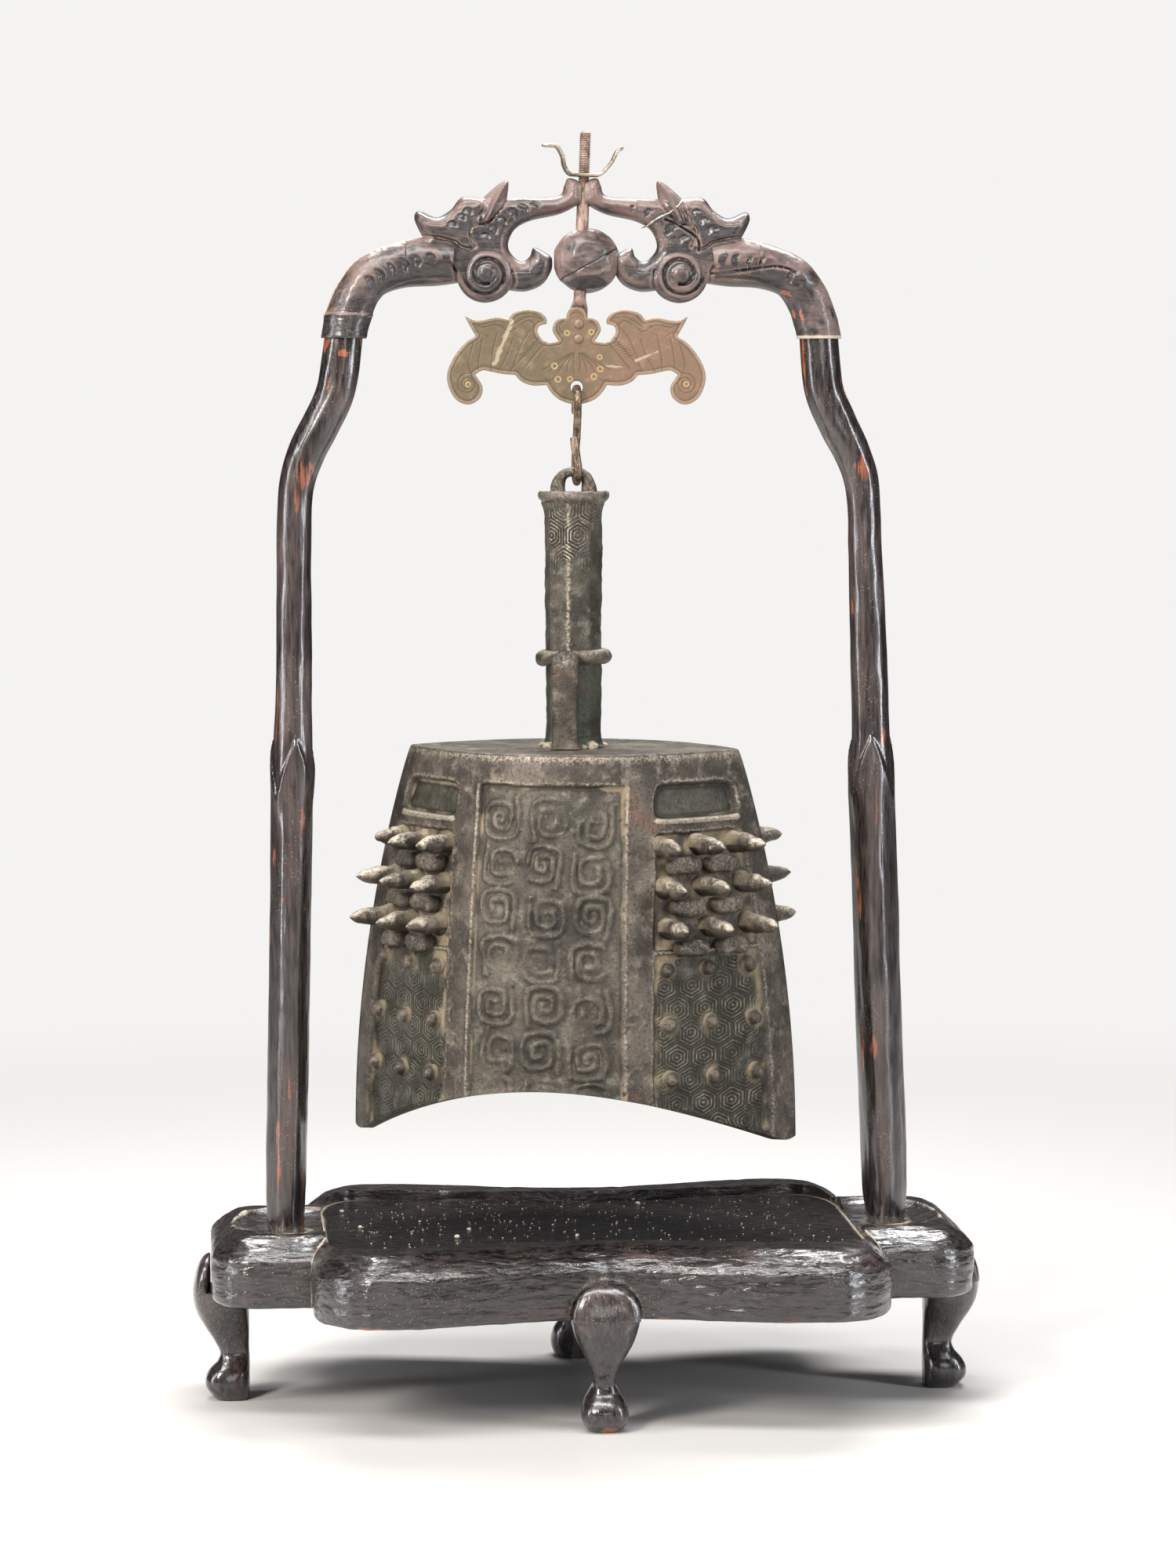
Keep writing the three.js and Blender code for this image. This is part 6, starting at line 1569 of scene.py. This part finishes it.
def buildStrip():
    s = stripSizes
    slant = math.radians(hanger["lean"])
    seat = (s["nose"] + 0.237 * s["length"] * math.sin(slant) + s["clear"] - hanger["z"]) / math.cos(slant)
    line = resample(catmull(np.array(stripLine) * (s["length"], s["height"]), 12), 200)
    path = surface(line[:, 0], 0, line[:, 1] + seat)
    tangent = tangents(path)
    normal = surface(-tangent[:, 2], 0, tangent[:, 0])[:, None]
    turn, share = turns(64), np.linspace(0, 1, len(path))[:, None]
    wide = s["halfWidth"] - smoothStep(0.05, 0, share) - 2.6 * smoothStep(0.86, 1, share)
    thick = s["halfThick"] - 0.3 * smoothStep(0.04, 0, share)
    place = path[:, None] + (thick * signedPower(np.sin(turn), 0.42))[..., None] * normal
    place[..., 1] += wide * signedPower(np.cos(turn), 0.42)
    place += (0.07 * fractal(place, 5, 3, 3))[..., None] * normal
    patches = Patches(("worn",))
    patches.closed(lean(place), flip=True)
    buildObject("bent_strip", patches, stripMetal, "wing_nut", ("wing_nut",), 60)


# S-hook: one wire in the fore-and-aft plane with tapered, hammered ends
hookSizes = dict(top=564.45, low=528.5, wire=2.33, topBend=8.0, lowBend=8.5)


def buildHook():
    s = hookSizes
    x, top, low, bend = hanger["x"], s["top"], s["low"], s["lowBend"]
    points = [(x, s["topBend"], top - 6.8)]
    points += [(x, s["topBend"] * math.cos(t), top + s["topBend"] * math.sin(t)) for t in np.linspace(0, math.pi, 9)]
    points += [(x, reach * bend, top - fall * (top - low)) for reach, fall in ((-0.621, 0.28), (0, 0.5), (0.68, 0.72))]
    points += [(x, bend * math.cos(t), low + bend * math.sin(t)) for t in np.linspace(0, -math.pi, 9)]
    points += [(x - 1.25, -bend, low + 8.5), (x - 2.5, -bend, low + 17.0)]
    path = resample(catmull(points, 16), 300)
    share = np.linspace(0, 1, 300)[:, None]
    ends = np.minimum(np.minimum(share, 1 - share) / 0.012, 1)
    rough = path[:, None] + around(2.4, turns(32), 0)
    radius = s["wire"] * np.sqrt(np.clip(1 - (1 - ends) ** 2, 0.02, 1))
    radius = radius + (0.14 * fractal(rough, (3, 3, 7), 9, 3) - 0.1) * ends
    patches = Patches(("worn",))
    tube(patches, path, radius, 32, across=(1, 0, 0))
    buildObject("bent_hook_wire", patches, hookMetal, "hook", ("s_hook",), 60)


buildRod()
buildStrip()
buildHook()
print("hanger metal done")


# Bat plate: sheet with filed edges; its engraving is cut by distance from the lines below, in mm from the hook hole
halfBat = ((0, 0.824), (0.047, 0.807), (0.07, 0.766), (0.081, 0.712), (0.125, 0.708), (0.169, 0.667), (0.188, 0.59),
           (0.169, 0.528), (0.141, 0.476), (0.219, 0.462), (0.273, 0.493), (0.305, 0.569), (0.289, 0.625),
           (0.234, 0.646), (0.237, 0.704), (0.289, 0.77), (0.375, 0.795), (0.477, 0.766), (0.531, 0.694),
           (0.617, 0.712), (0.719, 0.687), (0.797, 0.683), (0.867, 0.725), (0.836, 0.642), (0.784, 0.522),
           (0.863, 0.451), (0.945, 0.321), (1, 0.166), (1, 0.031), (0.953, -0.104), (0.883, -0.17), (0.812, -0.17),
           (0.747, -0.104), (0.731, -0.004), (0.762, 0.079), (0.789, 0.128), (0.734, 0.17), (0.672, 0.161),
           (0.578, 0.135), (0.477, 0.124), (0.43, 0.058), (0.344, 0.017), (0.234, 0.021), (0.2, -0.052),
           (0.141, -0.124), (0.062, -0.166), (0, -0.176))
batSizes = dict(halfWidth=72.6, height=54.8, hole=3.5, halfThick=1.25, round=0.55)
batCorners = (3, 8, 13, 18, 22, 24, 35, 39, 42)
engraving = (
    ((17, 25.5), (22, 20), (30, 10)), ((21, 28), (26, 22), (35, 11.5)), ((26, 32), (31, 24), (37, 8.6)),
    ((36, 27), (39, 18), (44, 9)), ((45, 30), (47.5, 19), (48.4, 9)), ((53, 27), (55, 17), (55.6, 10)),
    ((58, 25), (61, 14), (60, 8)), ((20, 38), (26, 39.4), (33, 36.8), (37.4, 33.5)), ((23, 34.6), (27, 37), (31, 35)),
    ((34, 33), (38, 31), (43, 34.2)), ((41, 33.6), (47, 34.6), (53, 33.4), (58, 35.6)),
    ((50, 28), (54, 30.5), (58, 30.6)), ((11, 5.6), (14.5, 3.8), (18, 4.6)), ((3.6, 40.2), (0, 42), (-3.6, 40.2)),
    ((7, 37), (10, 33.6), (7.4, 29.5)))
punchedRings = ((-12.7, 12, 1.5), (-10.7, 4.5, 1.5), (-3.9, 4.6, 1.3), (9.6, 6, 1.5), (13.2, 10.2, 1.4),
                (12.9, 17, 1.2), (-5.6, 30.4, 1.3), (8.2, 30.9, 1.3), (61.9, 1.8, 1.3), (-61.3, 1.5, 1.3))
scratches = (((-36.7, 37), (-46.5, 13), 1.5), ((33.5, 15), (45.5, 20), 0.6), ((17, 12), (26, 11.4), 0.5))


def batOutline():
    places = np.array(halfBat) * (batSizes["halfWidth"], batSizes["height"])
    corners = (0, *batCorners, len(places) - 1)
    half = [catmull(places[a:b + 1], 6)[:-1] for a, b in zip(corners, corners[1:])]
    half = np.vstack(half + [places[-1:]])
    return resample(closedLine(np.vstack([half, (half * (-1, 1))[-2:0:-1]])), 900)[:-1]


# On each half: a fan of five lines, the curves above, a spiral and seven short ticks
def engravedLines():
    fan = (((1.2 + 0.5 * k, 19), (2 + 2.6 * k, 13.5), (1.4 + 4.4 * k, 7.5 + 0.5 * k)) for k in range(5))
    half = [catmull(curve, 6) for curve in (*fan, *engraving)]
    turn = np.linspace(0, 4.6 * math.pi, 70)
    reach = 1.3 + 4.9 * (turn / turn[-1]) ** 1.2
    half.append(np.column_stack([61.6 + reach * np.cos(turn), 1.6 + reach * np.sin(turn)]))
    half += [np.array([(21, 24.5), (24.2, 25.2)]) + (1.3 * k, -1.2 * k) for k in range(7)]
    return [line * (side, 1) for side in (-1, 1) for line in half]


def buildPlate():
    s = batSizes
    outline, lines = batOutline(), engravedLines()
    hole = around(s["hole"], turns(60), 0)[:, :2]
    patches = Patches(brassMasks)
    for face, spacing in ((-1, 0.42), (1, 1.1)):
        flat, faces, inset = fillOutline(outline, spacing, hole)
        x, z = flat.T
        level = surface(x, z, 0)
        edgeInset = lineDistance(flat, closedLine(outline))
        groove = bump(np.abs(edgeInset - 2.2) + 0.15 * noiseAt(level, 3, 4), 0.34) * (np.hypot(x, z - 36) > 7)
        for line in lines:
            groove = np.maximum(groove, bump(lineDistance(flat, line), 0.3) * 0.9)
        ring, band = np.zeros((2, len(flat)))
        for across, up, r in punchedRings:
            ring = np.maximum(ring, bump(np.hypot(x - across, z - up) - r, 0.32))
        for start, end, width in scratches:
            d = lineDistance(flat, (start, end)) + 0.7 * noiseAt(level, 2.2, 6)
            band = np.maximum(band, smoothStep(width, width * 0.4, d))
        groove = np.maximum(groove, 0.5 * ring) * (face < 0)
        height = s["halfThick"] * np.sqrt(np.clip(1 - (1 - np.minimum(inset / s["round"], 1)) ** 2, 0, 1))
        height = np.where(inset < 1e-3, 0.0, np.maximum(height - 0.28 * groove - 0.02 - 0.08 * band, 0.2))
        place = surface(x, face * height, z) + (hanger["x"], 0, hanger["z"])
        patches.add(place, [faces if face < 0 else faces[:, ::-1]], worn=0.6 * bump(edgeInset - 0.7, 0.8),
                    groove=groove, band=band * (face < 0), ring=ring * (face < 0), side=smoothStep(-40, 40, x))
    buildObject("engraved_bat_plate", patches, plateBrass, "hanger", ("bat_plate",), 50)


# Rivets: domed heads, h(r) = 1.28 + 1.5 sqrt(1 - (r / 2.7)^2), over a short shank with a hammered front
def buildRivets():
    t = np.linspace(math.pi / 2, 0, 14)
    front = np.column_stack([2.7 * np.cos(t), 1.28 + 1.5 * np.sin(t)])
    profile = np.vstack([front, [(1.5, 1.27), (1.5, -4.6), (2.6, -4.62), (2.2, -5.2), (1.2, -5.38), (0.02, -5.4)]])
    for name, height in (("upper_rivet", 35.5), ("lower_rivet", 27.1)):
        x, z = hanger["x"] + math.tan(math.radians(hanger["lean"])) * height, hanger["z"] + height
        patches = Patches(brassMasks)
        lathe(patches, profile[::-1], (x, 0, z), (0, -1, 0), 40, side=0.7, worn=0.35, groove=0.35)
        points = patches.points[0]
        points[:, 1] += 0.12 * noiseAt(points, 1.6, 5) * (points[:, 1] < -1.3)
        buildObject(name + "_head", patches, plateBrass, "hanger", (name,), 60)


buildPlate()
buildRivets()
print("plate done")


def useOnNodes():
    for node in ("left_dowel", "right_dowel"):
        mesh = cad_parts[node].data
        mesh.materials.clear()
        mesh.materials.append(paleWood)


useOnNodes()
print("all pieces done")
